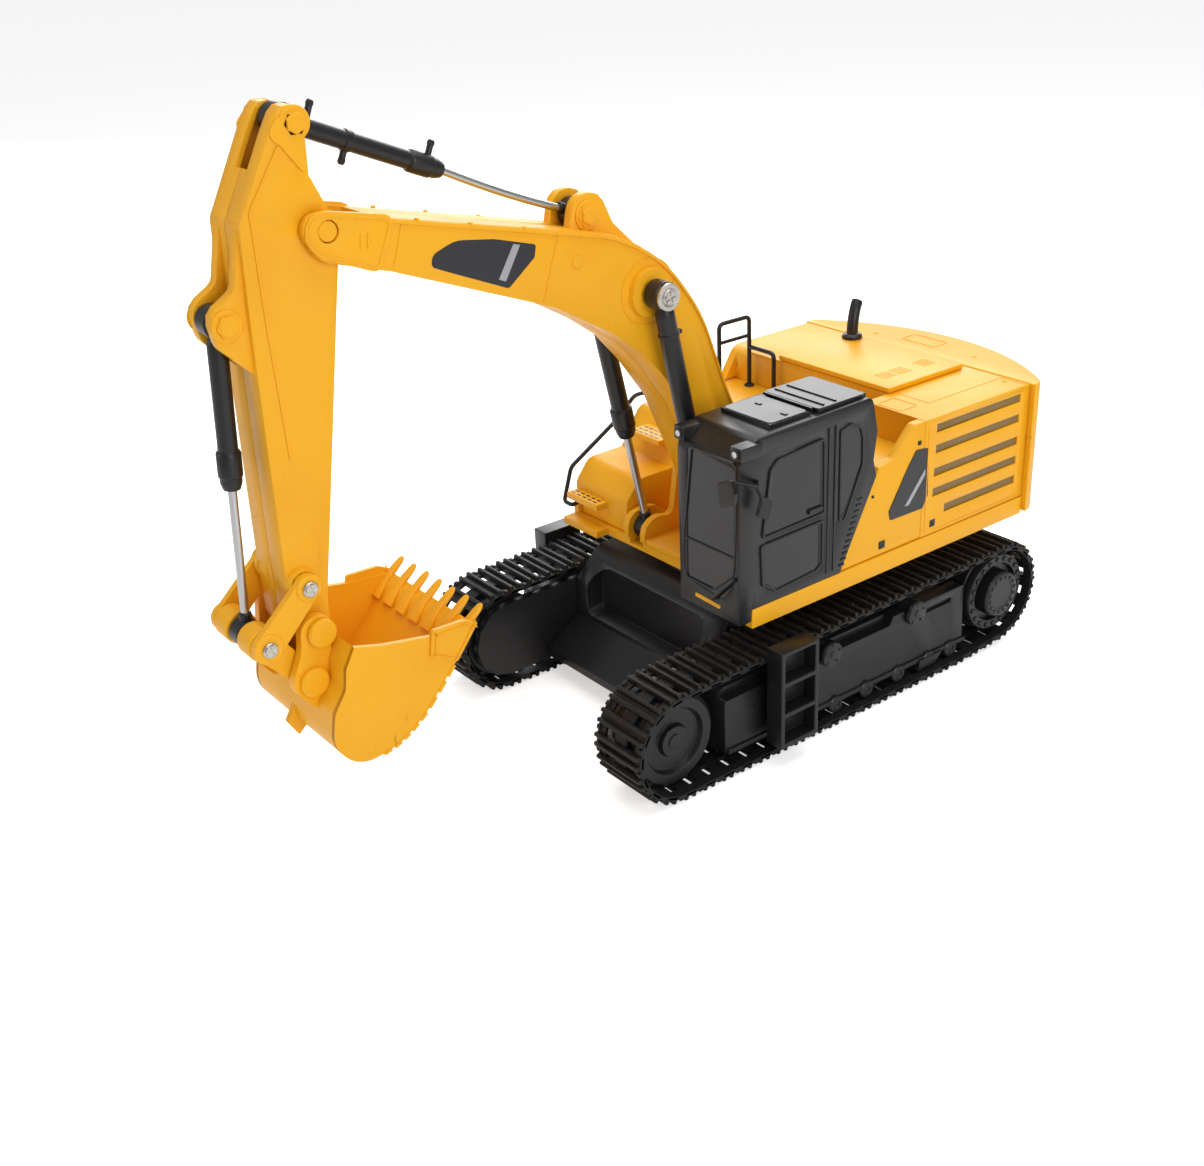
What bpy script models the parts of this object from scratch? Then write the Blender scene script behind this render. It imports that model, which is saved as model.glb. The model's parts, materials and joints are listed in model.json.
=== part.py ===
"""Toy tracked excavator, 1:24 scale, as separate pieces on their joint axes.

The front of the machine faces -Y and its cab side is +X. Sizes are millimetres on the drawing frame, whose
origin is on the ground under the slew axis. The helpers turn them into metres, and the root empty moves the
drawing frame so that the whole machine is centred on the world origin.
"""
import math

import bmesh
import bpy
from mathutils import Matrix, Vector

MM = 0.001
GAP = 0.3
ARC_STEP = math.radians(30)
ARC_SHARE = 0.96

SLEW_AXIS_Y = 43.0

# Undercarriage
TRACK_CENTRE_X = 54.5
SHOE_WIDTH = 25.0
IDLER = (-84.0, 22.3)
REAR_ROLLER = (62.0, 22.3)
SPROCKET = (86.4, 24.2)
CLEAT_RADIUS = 22.3
SHOE_RADIUS = 20.7
BELT_INNER_RADIUS = 18.9
CLEAT_COUNT = 52
BELT_ARC_STEP = math.radians(18)
WHEEL_RADIUS = 18.3
FRAME_INNER_X = 41.6
STEP_INNER_X = 67.4
STEP_OUTER_X = 75.3
CARRIER_ROLLERS = ((37.0, 32.0), (-9.8, 31.0))
LOWER_ROLLERS = ((-30.0, 7.2), (-6.0, 7.2), (11.0, 7.2), (29.0, 7.2), (47.0, 7.6), (60.0, 7.4))

# Slew drive
SLEW_TEETH = 27
PINION_TEETH = 9
GEAR_MODULE = 1.2
SPINDLE_RADIUS = 11.4

# House
DECK_BOTTOM = 54.2
RAIL_TOP = 61.6
HOUSE_HALF = 61.0
HOOD_TOP = 109.6
WALL = 2.0
SEAM_Y = 102.0
COUNTERWEIGHT_DEPTH = 26.6
COUNTERWEIGHT_HALF = 63.4
HOOD_FRONT_Y = 53.5
EXHAUST = (-25.5, 92.0)
GRILLE_SLOTS = ((105.0, 47.4), (96.6, 47.4), (87.2, 47.0), (79.0, 46.8), (70.6, 54.0))
RIGHT_GRILLE_FRONT_Y = 57.0

# Cab
CAB_INNER_X = 29.5
CAB_OUTER_X = 61.4

# Arm pivots, as (y, z)
BOOM_FOOT = (-8.0, 84.0)
BOOM_NOSE = (-170.0, 210.0)
BUCKET_PIN = (-191.4, 87.3)
CRANK_PIN = (-192.8, 102.9)
LINK_PIN = (-209.0, 87.2)
BUCKET_LINK_PIN = (-196.2, 71.4)
BOOM_RAM_TOP = (-51.2, 168.3)
BOOM_RAM_FOOT = (-28.3, 61.7)
BOOM_RAM_X = 20.0
ARM_RAM_HEAD = (-174.5, 240.8)
ARM_RAM_ROD_END = (-71.5, 197.2)
BUCKET_RAM_HEAD = (-203.0, 187.6)

# Arm widths
BOOM_HALF = 13.0
STICK_HALF = 10.0
LUG_INNER = 3.9
EYE_HALF = 3.4
EAR_INNER = 13.0
EAR_OUTER = 16.4
PIN_RADIUS = 2.5
NOSE_PIN_RADIUS = 3.2

PIVOTS = {
    "undercarriage": (None, (0.0, 0.0, 0.0)),
    "sprocket_left": ("undercarriage", (TRACK_CENTRE_X, *SPROCKET)),
    "sprocket_right": ("undercarriage", (-TRACK_CENTRE_X, *SPROCKET)),
    "idler_left": ("undercarriage", (TRACK_CENTRE_X, *IDLER)),
    "idler_right": ("undercarriage", (-TRACK_CENTRE_X, *IDLER)),
    "house": ("undercarriage", (0.0, 0.0, DECK_BOTTOM)),
    "slew_drive": ("undercarriage", (0.0, -(SLEW_TEETH + PINION_TEETH) * GEAR_MODULE / 2, 34.0)),
    "boom": ("house", (0.0, *BOOM_FOOT)),
    "boom_barrel_left": ("boom", (BOOM_RAM_X, *BOOM_RAM_TOP)),
    "boom_barrel_right": ("boom", (-BOOM_RAM_X, *BOOM_RAM_TOP)),
    "boom_rod_left": ("boom_barrel_left", (BOOM_RAM_X, *BOOM_RAM_FOOT)),
    "boom_rod_right": ("boom_barrel_right", (-BOOM_RAM_X, *BOOM_RAM_FOOT)),
    "stick": ("boom", (0.0, *BOOM_NOSE)),
    "arm_barrel": ("stick", (0.0, *ARM_RAM_HEAD)),
    "arm_rod": ("arm_barrel", (0.0, *ARM_RAM_ROD_END)),
    "bucket_barrel": ("stick", (0.0, *BUCKET_RAM_HEAD)),
    "bucket_rod": ("bucket_barrel", (0.0, *LINK_PIN)),
    "crank": ("stick", (0.0, *CRANK_PIN)),
    "tie_link": ("crank", (0.0, *LINK_PIN)),
    "bucket": ("stick", (0.0, *BUCKET_PIN)),
    "power_slider": ("undercarriage", (0.0, -5.0, 10.0)),
}

# An outline drawn as (u, v) stands across one of these axes, and the plate's thickness runs along it.
PLATE_FRAMES = {
    "X": Matrix(((0, 0, 1), (1, 0, 0), (0, 1, 0))).to_4x4(),
    "Y": Matrix(((1, 0, 0), (0, 0, -1), (0, 1, 0))).to_4x4(),
    "Z": Matrix.Identity(4),
}

SIDES = (("left", 1), ("right", -1))


# ---------------------------------------------------------------- scene and materials

def clear_scene():
    for thing in list(bpy.data.objects):
        bpy.data.objects.remove(thing)


def new_collection(name):
    collection = bpy.data.collections.new(name)
    bpy.context.scene.collection.children.link(collection)
    return collection


def new_material(name, color, roughness, metallic=0.0):
    material = bpy.data.materials.new(name)
    material.use_nodes = True
    shader = material.node_tree.nodes["Principled BSDF"]
    shader.inputs["Base Color"].default_value = (*color, 1.0)
    shader.inputs["Roughness"].default_value = roughness
    shader.inputs["Metallic"].default_value = metallic
    return material


clear_scene()
PARTS = new_collection("toy_excavator")
CUTTERS = new_collection("cutters")
YELLOW = new_material("yellow_plastic", (0.91, 0.42, 0.02), 0.38)
BLACK = new_material("black_plastic", (0.045, 0.045, 0.048), 0.45)
RUBBER = new_material("track_rubber", (0.025, 0.022, 0.020), 0.8)
CHROME = new_material("chromed_rod", (0.62, 0.62, 0.63), 0.22, 1.0)
STEEL = new_material("steel_fastener", (0.55, 0.55, 0.54), 0.35, 1.0)
MESH_BROWN = new_material("grille_mesh", (0.30, 0.20, 0.08), 0.6)
CLEAR_LENS = new_material("lamp_lens", (0.8, 0.82, 0.85), 0.1)
WHITE = new_material("white_nylon", (0.8, 0.79, 0.75), 0.5)
GREEN = new_material("circuit_board", (0.02, 0.18, 0.07), 0.5)
MOTOR = new_material("motor_steel", (0.42, 0.42, 0.44), 0.4, 1.0)
BATTERY = new_material("battery_sleeve", (0.05, 0.10, 0.32), 0.45)


# ---------------------------------------------------------------- outlines

def corner_reaches(corners):
    """How far each corner's arc runs along its edges. Arcs that would meet on an edge share it."""
    wanted = []
    for index, corner in enumerate(corners):
        here = Vector(corner[:2])
        to_before = Vector(corners[index - 1][:2]) - here
        to_after = Vector(corners[(index + 1) % len(corners)][:2]) - here
        radius = corner[2] if len(corner) > 2 else 0.0
        wanted.append(radius / math.tan(to_before.angle(to_after) / 2))
    reaches = []
    for index, corner in enumerate(corners):
        reach = wanted[index]
        for other in (index - 1, (index + 1) % len(corners)):
            edge = (Vector(corners[other][:2]) - Vector(corner[:2])).length
            if reach + wanted[other] > ARC_SHARE * edge:
                reach = min(reach, ARC_SHARE * edge * wanted[index] / (wanted[index] + wanted[other]))
        reaches.append(reach)
    return reaches


def rounded(*corners):
    """The outline through corners given as (u, v), or (u, v, radius) where the corner is an arc."""
    points = []
    reaches = corner_reaches(corners)
    for index, corner in enumerate(corners):
        here = Vector(corner[:2])
        if len(corner) == 2:
            points.append(here)
            continue
        to_before = (Vector(corners[index - 1][:2]) - here).normalized()
        to_after = (Vector(corners[(index + 1) % len(corners)][:2]) - here).normalized()
        half = to_before.angle(to_after) / 2
        centre = here + (to_before + to_after).normalized() * reaches[index] / math.cos(half)
        spoke = here + to_before * reaches[index] - centre
        turn = spoke.angle_signed(here + to_after * reaches[index] - centre)
        steps = max(2, round(abs(turn) / ARC_STEP))
        for step in range(steps + 1):
            points.append(centre + Matrix.Rotation(-turn * step / steps, 2) @ spoke)
    return points


def disc(centre, radius, steps=14):
    """A circle as an outline."""
    return arc(centre, radius, 0.0, math.tau * (1 - 1 / steps), steps - 1)


def on_circle(centre, radius, angle):
    return Vector((centre[0] + radius * math.cos(angle), centre[1] + radius * math.sin(angle)))


def arc(centre, radius, start, end, steps):
    """Points on a circle between two angles, in radians."""
    return [on_circle(centre, radius, start + (end - start) * step / steps) for step in range(steps + 1)]


def link(first, first_radius, second, second_radius):
    """The outline of a bar with a round end about each of two points."""
    along = Vector(second) - Vector(first)
    heading = math.atan2(along.y, along.x)
    lean = math.acos((first_radius - second_radius) / along.length)
    steps = 6
    near = arc(first, first_radius, heading + lean, heading - lean + math.tau, steps)
    far = arc(second, second_radius, heading - lean, heading + lean, steps)
    return near + far


def inset(corners, distance):
    """The corners moved in by a distance from both of their edges, with the arcs kept concentric."""
    points = [Vector(corner[:2]) for corner in corners]
    area = sum(a.cross(b) for a, b in zip(points, points[1:] + points[:1]))
    inward = math.copysign(distance, area)
    moved = []
    for corner, before, here, after in zip(corners, points[-1:] + points, points, points[1:] + points[:1]):
        first = (here - before).normalized()
        second = (after - here).normalized()
        normal = Vector((-first.y - second.y, first.x + second.x)).normalized()
        place = here + normal * inward / normal.dot(Vector((-first.y, first.x)))
        if len(corner) == 2:
            moved.append(tuple(place))
            continue
        outside = first.cross(second) * area > 0
        radius = max(0.5, corner[2] - distance) if outside else corner[2] + distance
        moved.append((*place, radius))
    return moved


# ---------------------------------------------------------------- solids

def add_object(name, mesh, collection=None):
    thing = bpy.data.objects.new(name, mesh)
    (collection or PARTS).objects.link(thing)
    return thing


def add_bmesh(name, shape):
    bmesh.ops.recalc_face_normals(shape, faces=shape.faces)
    mesh = bpy.data.meshes.new(name)
    shape.to_mesh(mesh)
    shape.free()
    return add_object(name, mesh)


def mesh_from(source):
    """Turns a curve, or a mesh with modifiers, into a plain mesh object with its caps welded."""
    bpy.context.view_layer.update()
    evaluated = source.evaluated_get(bpy.context.evaluated_depsgraph_get())
    mesh = bpy.data.meshes.new_from_object(evaluated)
    mesh.transform(source.matrix_world)
    name = source.name
    bpy.data.objects.remove(source)
    shape = bmesh.new()
    shape.from_mesh(mesh)
    bmesh.ops.remove_doubles(shape, verts=shape.verts, dist=0.00001)
    shape.to_mesh(mesh)
    shape.free()
    return add_object(name, mesh)


def plate(name, axis, outline, low, high, holes=()):
    """A flat outline across an axis, filled from low to high along it, with any holes left out."""
    curve = bpy.data.curves.new(name, "CURVE")
    curve.dimensions = "2D"
    curve.fill_mode = "BOTH"
    curve.extrude = (high - low) / 2 * MM
    for loop in (outline, *holes):
        spline = curve.splines.new("POLY")
        spline.points.add(len(loop) - 1)
        for slot, point in zip(spline.points, loop):
            slot.co = (point[0] * MM, point[1] * MM, 0.0, 1.0)
        spline.use_cyclic_u = True
    middle = Vector((0.0, 0.0, (low + high) / 2 * MM))
    source = add_object(name, curve)
    source.matrix_world = PLATE_FRAMES[axis] @ Matrix.Translation(middle if axis != "Y" else -middle)
    return mesh_from(source)


def block(name, low, high):
    """A box between two opposite corners."""
    shape = bmesh.new()
    low, high = Vector(low) * MM, Vector(high) * MM
    matrix = Matrix.Translation((low + high) / 2) @ Matrix.Diagonal((*(high - low), 1.0))
    bmesh.ops.create_cube(shape, size=1.0, matrix=matrix)
    return add_bmesh(name, shape)


def bar(name, start, end, radius, steps=12, end_radius=None):
    """A round bar, or a cone, between two points."""
    start, end = Vector(start) * MM, Vector(end) * MM
    along = end - start
    turn = Vector((0, 0, 1)).rotation_difference(along).to_matrix().to_4x4()
    shape = bmesh.new()
    bmesh.ops.create_cone(
        shape, cap_ends=True, segments=steps, depth=along.length,
        radius1=radius * MM, radius2=(radius if end_radius is None else end_radius) * MM,
        matrix=Matrix.Translation((start + end) / 2) @ turn)
    return add_bmesh(name, shape)


def turned(name, base, tip, profile, steps=14):
    """A turned solid on the line from base to tip. The profile is (distance from base, radius) pairs."""
    mesh = bpy.data.meshes.new(name)
    points = [(0.0, 0.0, profile[-1][0] * MM)]
    points += [(radius * MM, 0.0, distance * MM) for distance, radius in reversed(profile)]
    points.append((0.0, 0.0, profile[0][0] * MM))
    mesh.from_pydata(points, [(index, index + 1) for index in range(len(points) - 1)], [])
    source = add_object(name, mesh)
    screw = source.modifiers.new("Turn", "SCREW")
    screw.steps = screw.render_steps = steps
    screw.use_merge_vertices = True
    screw.merge_threshold = 0.00001
    base, tip = Vector(base), Vector(tip)
    source.matrix_world = Matrix.Translation(base * MM) @ (
        Vector((0, 0, 1)).rotation_difference(tip - base).to_matrix().to_4x4())
    return mesh_from(source)


def tube(name, points, radius):
    """A bent round wire through the points."""
    curve = bpy.data.curves.new(name, "CURVE")
    curve.dimensions = "3D"
    curve.bevel_depth = radius * MM
    curve.bevel_resolution = 1
    curve.use_fill_caps = True
    spline = curve.splines.new("POLY")
    spline.points.add(len(points) - 1)
    for slot, point in zip(spline.points, points):
        slot.co = (*(Vector(point) * MM), 1.0)
    return mesh_from(add_object(name, curve))


def bent(points, radius):
    """The route through 3-D points with every inner corner rounded to a radius."""
    points = [Vector(point) for point in points]
    route = [points[0]]
    for before, here, after in zip(points, points[1:], points[2:]):
        start = here + (before - here).normalized() * radius
        end = here + (after - here).normalized() * radius
        for step in range(4):
            share = step / 3
            route.append(start.lerp(here, share).lerp(here.lerp(end, share), share))
    return route + [points[-1]]


def boolean(target, operation, others):
    for other in others:
        modifier = target.modifiers.new(operation.title(), "BOOLEAN")
        modifier.operation = operation
        modifier.object = other
        PARTS.objects.unlink(other)
        CUTTERS.objects.link(other)
        other.hide_render = True
        other.display_type = "WIRE"
        other.name = f"{operation.lower()}_{other.name}"
    return target


def join(target, *others):
    return boolean(target, "UNION", others)


def cut(target, *others):
    return boolean(target, "DIFFERENCE", others)


def finish(piece, name, body, material):
    """Names a piece, shades it and hangs it on its body's empty without moving it."""
    piece = mesh_from(piece)
    piece.name = name
    piece.data.materials.clear()
    piece.data.materials.append(material)
    piece.data.shade_smooth()
    piece.data.set_sharp_from_angle(angle=math.radians(35))
    piece.parent = EMPTIES[body]
    piece.matrix_parent_inverse = Matrix.Translation(-Vector(PIVOTS[body][1]) * MM)
    return piece


def make_empties():
    """The machine's body tree, with an empty on each joint axis."""
    empties = {}
    for name, (parent, pivot) in PIVOTS.items():
        empty = bpy.data.objects.new(f"{name}_pivot", None)
        empty.empty_display_size = 0.01
        PARTS.objects.link(empty)
        if parent is None:
            empty.location = (0.0, SLEW_AXIS_Y * MM, 0.0)
        else:
            empty.parent = empties[parent]
            empty.location = (Vector(pivot) - Vector(PIVOTS[parent][1])) * MM
        empties[name] = empty
    return empties


EMPTIES = make_empties()


# ---------------------------------------------------------------- undercarriage

def belt_outline(radius_at):
    """A closed loop round the wheel centres. radius_at lists (share of a shoe, radius) steps, or is one radius."""
    centres = [Vector(IDLER), Vector(REAR_ROLLER), Vector(SPROCKET)]
    count = len(centres)
    headings = []
    for index, centre in enumerate(centres):
        along = centres[(index + 1) % count] - centre
        headings.append(math.atan2(along.y, along.x))
    spans = []
    for index, centre in enumerate(centres):
        turn = (headings[index] - headings[index - 1]) % math.tau
        start = headings[index - 1] - math.pi / 2
        spans.append((SHOE_RADIUS * turn, centre, start, turn, None))
        after = centres[(index + 1) % count]
        spans.append(((after - centre).length, centre, start + turn, 0.0, after))
    length = sum(span[0] for span in spans)

    def point(distance, radius):
        for reach, centre, start, turn, after in spans:
            if distance <= reach:
                break
            distance -= reach
        share = distance / reach
        angle = start + turn * share
        hub = centre if after is None else centre.lerp(after, share)
        return hub + Vector((math.cos(angle), math.sin(angle))) * radius

    if isinstance(radius_at, float):
        outline = []
        for _, centre, start, turn, after in spans:
            if after is None:
                outline += arc(centre, radius_at, start, start + turn, max(1, round(turn / BELT_ARC_STEP)))
        return outline
    pitch = length / CLEAT_COUNT
    return [point((shoe + share) * pitch, radius) for shoe in range(CLEAT_COUNT) for share, radius in radius_at]


def x_span(side, inner, outer):
    """The low and high X of a plate between two distances from the middle, on one side."""
    return (inner, outer) if side > 0 else (-outer, -inner)


def side_plate(name, side, outline, inner, outer, holes=()):
    return plate(name, "X", outline, *x_span(side, inner, outer), holes)


def build_belt(word, side):
    cleats = ((0.0, SHOE_RADIUS), (0.2, CLEAT_RADIUS), (0.55, CLEAT_RADIUS))
    inner = TRACK_CENTRE_X - SHOE_WIDTH / 2
    outer = TRACK_CENTRE_X + SHOE_WIDTH / 2
    belt = side_plate("belt", side, belt_outline(cleats), inner, outer, [belt_outline(BELT_INNER_RADIUS)])
    finish(belt, f"track_belt_{word}", "undercarriage", RUBBER)


def build_wheels(word, side):
    """The toothed drive wheel with its bolted cap, and the plain idler wheel."""
    start = (side * 46.2, *SPROCKET)
    end = (side * 70.0, *SPROCKET)
    wheel = turned("wheel", start, end, (
        (0.0, WHEEL_RADIUS - 1.2), (13.6, WHEEL_RADIUS - 1.2), (17.4, 16.4), (17.4, 14.6), (14.6, 13.4)), 20)
    teeth = []
    tooth_count = 13
    for tooth in range(tooth_count):
        for share, radius in ((0.05, WHEEL_RADIUS - 1.4), (0.3, WHEEL_RADIUS), (0.5, WHEEL_RADIUS),
                              (0.75, WHEEL_RADIUS - 1.4)):
            teeth.append(on_circle(SPROCKET, radius, (tooth + share) * math.tau / tooth_count))
    join(wheel, side_plate("teeth", side, teeth, 48.0, 52.0))
    cut(wheel, bar("hub_bore", (side * 40, *SPROCKET), (side * 56, *SPROCKET), 3.3, 12))
    finish(wheel, f"drive_sprocket_{word}", f"sprocket_{word}", BLACK)

    cap = turned("cap", (side * (60.8 + GAP), *SPROCKET), end, (
        (0.0, 9.8), (5.4, 9.8), (6.7, 8.8)), 18)
    finish(cap, f"final_drive_cap_{word}", f"sprocket_{word}", BLACK)

    idler = turned("idler", (side * 46.2, *IDLER), (side * 61.0, *IDLER), (
        (0.0, 16.6), (1.6, WHEEL_RADIUS), (13.2, WHEEL_RADIUS), (14.8, 16.6), (14.8, 13.0), (12.8, 12.0),
        (12.8, 6.4), (14.8, 6.0)), 16)
    cut(idler, bar("idler_bore", (side * 44, *IDLER), (side * 64, *IDLER), 3.3, 12))
    finish(idler, f"idler_wheel_{word}", f"idler_{word}", BLACK)


def build_track_frame(word, side):
    """One side frame: core box, inner cheek round both wheels, outer plate with roller ends, idler axle."""
    core = side_plate("core", side, rounded((-62, 7), (64, 7), (64, 33, 4), (-62, 33, 4)), 44.0, 58.0)
    cheek = side_plate("cheek", side, link(IDLER, 15.5, SPROCKET, 15.5), FRAME_INNER_X, 45.4)
    outer = side_plate("outer", side, rounded(
        (-62, 8.6), (68, 8.6), (67, 33.6, 1.2), (26, 33.6), (24, 30.2), (-62, 30.2, 1.2)), 57.0, 62.6)
    flange = side_plate("flange", side, rounded((-61, 8.0), (68.5, 8.0), (68.5, 9.9), (-61, 9.9)), 58.5, 63.6)
    axle = bar("axle", (side * 45, *IDLER), (side * 61.4, *IDLER), 2.9, 12)
    join(core, cheek, outer, flange, axle)
    for centre in CARRIER_ROLLERS:
        join(core, bar("carrier", (side * 50, *centre), (side * 65.2, *centre), 5.0, 12))
    for centre in LOWER_ROLLERS:
        join(core, bar("roller", (side * 50, *centre), (side * 63.0, *centre), 3.4, 8))
    guard = side_plate("guard", side, rounded((41, 9), (40, 4.6), (50, 4.6), (54, 9)), 60.0, 64.4)
    join(core, guard)
    cut(core, bar("output_bore", (side * 40, *SPROCKET), (side * 48, *SPROCKET), 4.0))
    cut(core, side_plate("slot", side, rounded((44, 28.4, 0.9), (60, 28.4, 0.9), (60, 30.6, 0.9), (44, 30.6, 0.9)),
                         61.2, 64.0))
    finish(core, f"track_frame_{word}", "undercarriage", BLACK)


def build_step_frame(word, side):
    """The three-compartment boarding step that stands out past the belt."""
    outer = side_plate("step", side, rounded((-46, 9), (-27.5, 9), (-27.5, 48.6), (-46, 48.6)), STEP_INNER_X, STEP_OUTER_X)
    for low in (11.0, 23.6, 36.2):
        cut(outer, side_plate("opening", side, rounded((-44.2, low), (-29.3, low), (-29.3, low + 10.8),
                                                       (-44.2, low + 10.8)), STEP_INNER_X + 1.6, 80.0))
    foot = side_plate("step_foot", side, rounded((-42, 14), (-31, 14), (-31, 28), (-42, 28)), 63.6 + GAP, STEP_INNER_X + 1.0)
    join(outer, foot)
    finish(outer, f"step_frame_{word}", "undercarriage", BLACK)


def build_chassis():
    """The centre frame: a recessed box between the side frames, with the slew ring seat on top."""
    half = FRAME_INNER_X - GAP
    body = plate("chassis", "X", rounded(
        (-66, 9), (66, 9), (66, 14), (60, 24), (50, 42), (38, 50.4, 4), (-38, 50.4, 8), (-50, 38, 6), (-50, 23),
        (-66, 12.6)), -half, half)
    cut(body, plate("front_pocket", "Y", rounded((-34, 25, 3), (34, 25, 3), (34, 45, 7), (-34, 45, 7)), -70, -42))
    cut(body, block("inside", (-38.6, -40, 6), (38.6, 52, 40)))
    for _, side in SIDES:
        cut(body, bar("gearbox_bore", (side * 36, *SPROCKET), (side * 44, *SPROCKET), 4.0))
    join(body, bar("ring_seat", (0, 0, 46), (0, 0, 52.6), 31, 28))
    cut(body, bar("spindle_way", (0, 0, 36), (0, 0, 56), SPINDLE_RADIUS + GAP, 24))
    finish(body, "chassis_frame", "undercarriage", BLACK)

    cover = block("cover", (-38.2, -39.6, 9.2), (38.2, 51.6, 11.4))
    cut(cover, block("switch_way", (-7.3, -8.3, 8), (7.3, -1.7, 14)))
    finish(cover, "belly_cover", "undercarriage", BLACK)

    for word, side in SIDES:
        low, high = x_span(side, 10, 37.6)
        case = block("case", (low, 22, 13), (high, 50, 36))
        join(case, bar("motor_can", (side * 12, 10, 20.4), (side * 36, 10, 20.4), 8.2, 14))
        low, high = x_span(side, 14, 30)
        join(case, block("motor_mount", (low, 12, 15), (high, 30, 26)))
        finish(case, f"track_gearbox_{word}", "undercarriage", WHITE)


def gear_outline(centre, teeth, phase):
    """A spur gear outline with straight-sided teeth thinned for running clearance."""
    pitch_radius = teeth * GEAR_MODULE / 2
    outline = []
    for tooth in range(teeth):
        for share, radius in ((-0.30, pitch_radius - 1.2), (-0.12, pitch_radius + 0.8), (0.12, pitch_radius + 0.8),
                              (0.30, pitch_radius - 1.2)):
            outline.append(on_circle(centre, radius, phase + (tooth + share) * math.tau / teeth))
    return outline


def build_slew_drive():
    """The ring gear under the house spindle, and the motor and pinion in the chassis that turn it."""
    bore = disc((0, 0), SPINDLE_RADIUS - 1.9, 20)
    ring = plate("ring", "Z", gear_outline((0, 0), SLEW_TEETH, -math.pi / 2), 31.0, 36.0, [bore])
    finish(ring, "slew_ring_gear", "house", WHITE)
    pinion_y = PIVOTS["slew_drive"][1][1]
    half_tooth = math.pi / PINION_TEETH
    pinion = plate("pinion", "Z", gear_outline((0, pinion_y), PINION_TEETH, math.pi / 2 + half_tooth), 30.6, 36.4)
    join(pinion, bar("pinion_shaft", (0, pinion_y, 28.4), (0, pinion_y, 34), 1.4, 10))
    finish(pinion, "slew_pinion", "slew_drive", WHITE)
    motor = bar("motor", (0, pinion_y, 12.0), (0, pinion_y, 29.6), 9.0, 18)
    cut(motor, bar("shaft_way", (0, pinion_y, 27.8), (0, pinion_y, 32), 1.4 + GAP, 10))
    finish(motor, "slew_motor", "undercarriage", MOTOR)


# ---------------------------------------------------------------- house

def build_deck():
    """The house floor with its side rails, the lower boarding tread and the spindle that turns in the chassis."""
    outline = [Vector(point) for point in (
        (-HOUSE_HALF, -34.6), (28.8, -34.6), (57.8, -34.6), (57.8, -47.4), (61.4, -47.4),
        (61.4, SEAM_Y - GAP), (-HOUSE_HALF, SEAM_Y - GAP))]
    deck = plate("deck", "Z", outline, DECK_BOTTOM, 57.8)
    for _, side in SIDES:
        front = -47.4 if side > 0 else -34.6
        low, high = x_span(side, 58.0, 61.4 if side > 0 else HOUSE_HALF)
        join(deck, block("rail", (low, front, 55), (high, SEAM_Y - GAP, RAIL_TOP)))
    join(deck, block("lower_tread", (-60.4, -40.6, DECK_BOTTOM + 0.2), (-38, -34, DECK_BOTTOM + 3.2)))
    join(deck, bar("spindle", (0, 0, 36 + GAP), (0, 0, 56), SPINDLE_RADIUS, 24))
    join(deck, bar("spindle_foot", (0, 0, 29.6), (0, 0, 38), SPINDLE_RADIUS - 1.9 - GAP, 20))
    cut(deck, bar("wire_way", (0, 0, 20), (0, 0, 60), 4.5, 14))
    for _, side in SIDES:
        low, high = x_span(side, 16, 24)
        cut(deck, block("eye_pocket", (low, -36.2, 55.6), (high, -20, 60)))
    finish(deck, "house_deck", "house", YELLOW)


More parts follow.
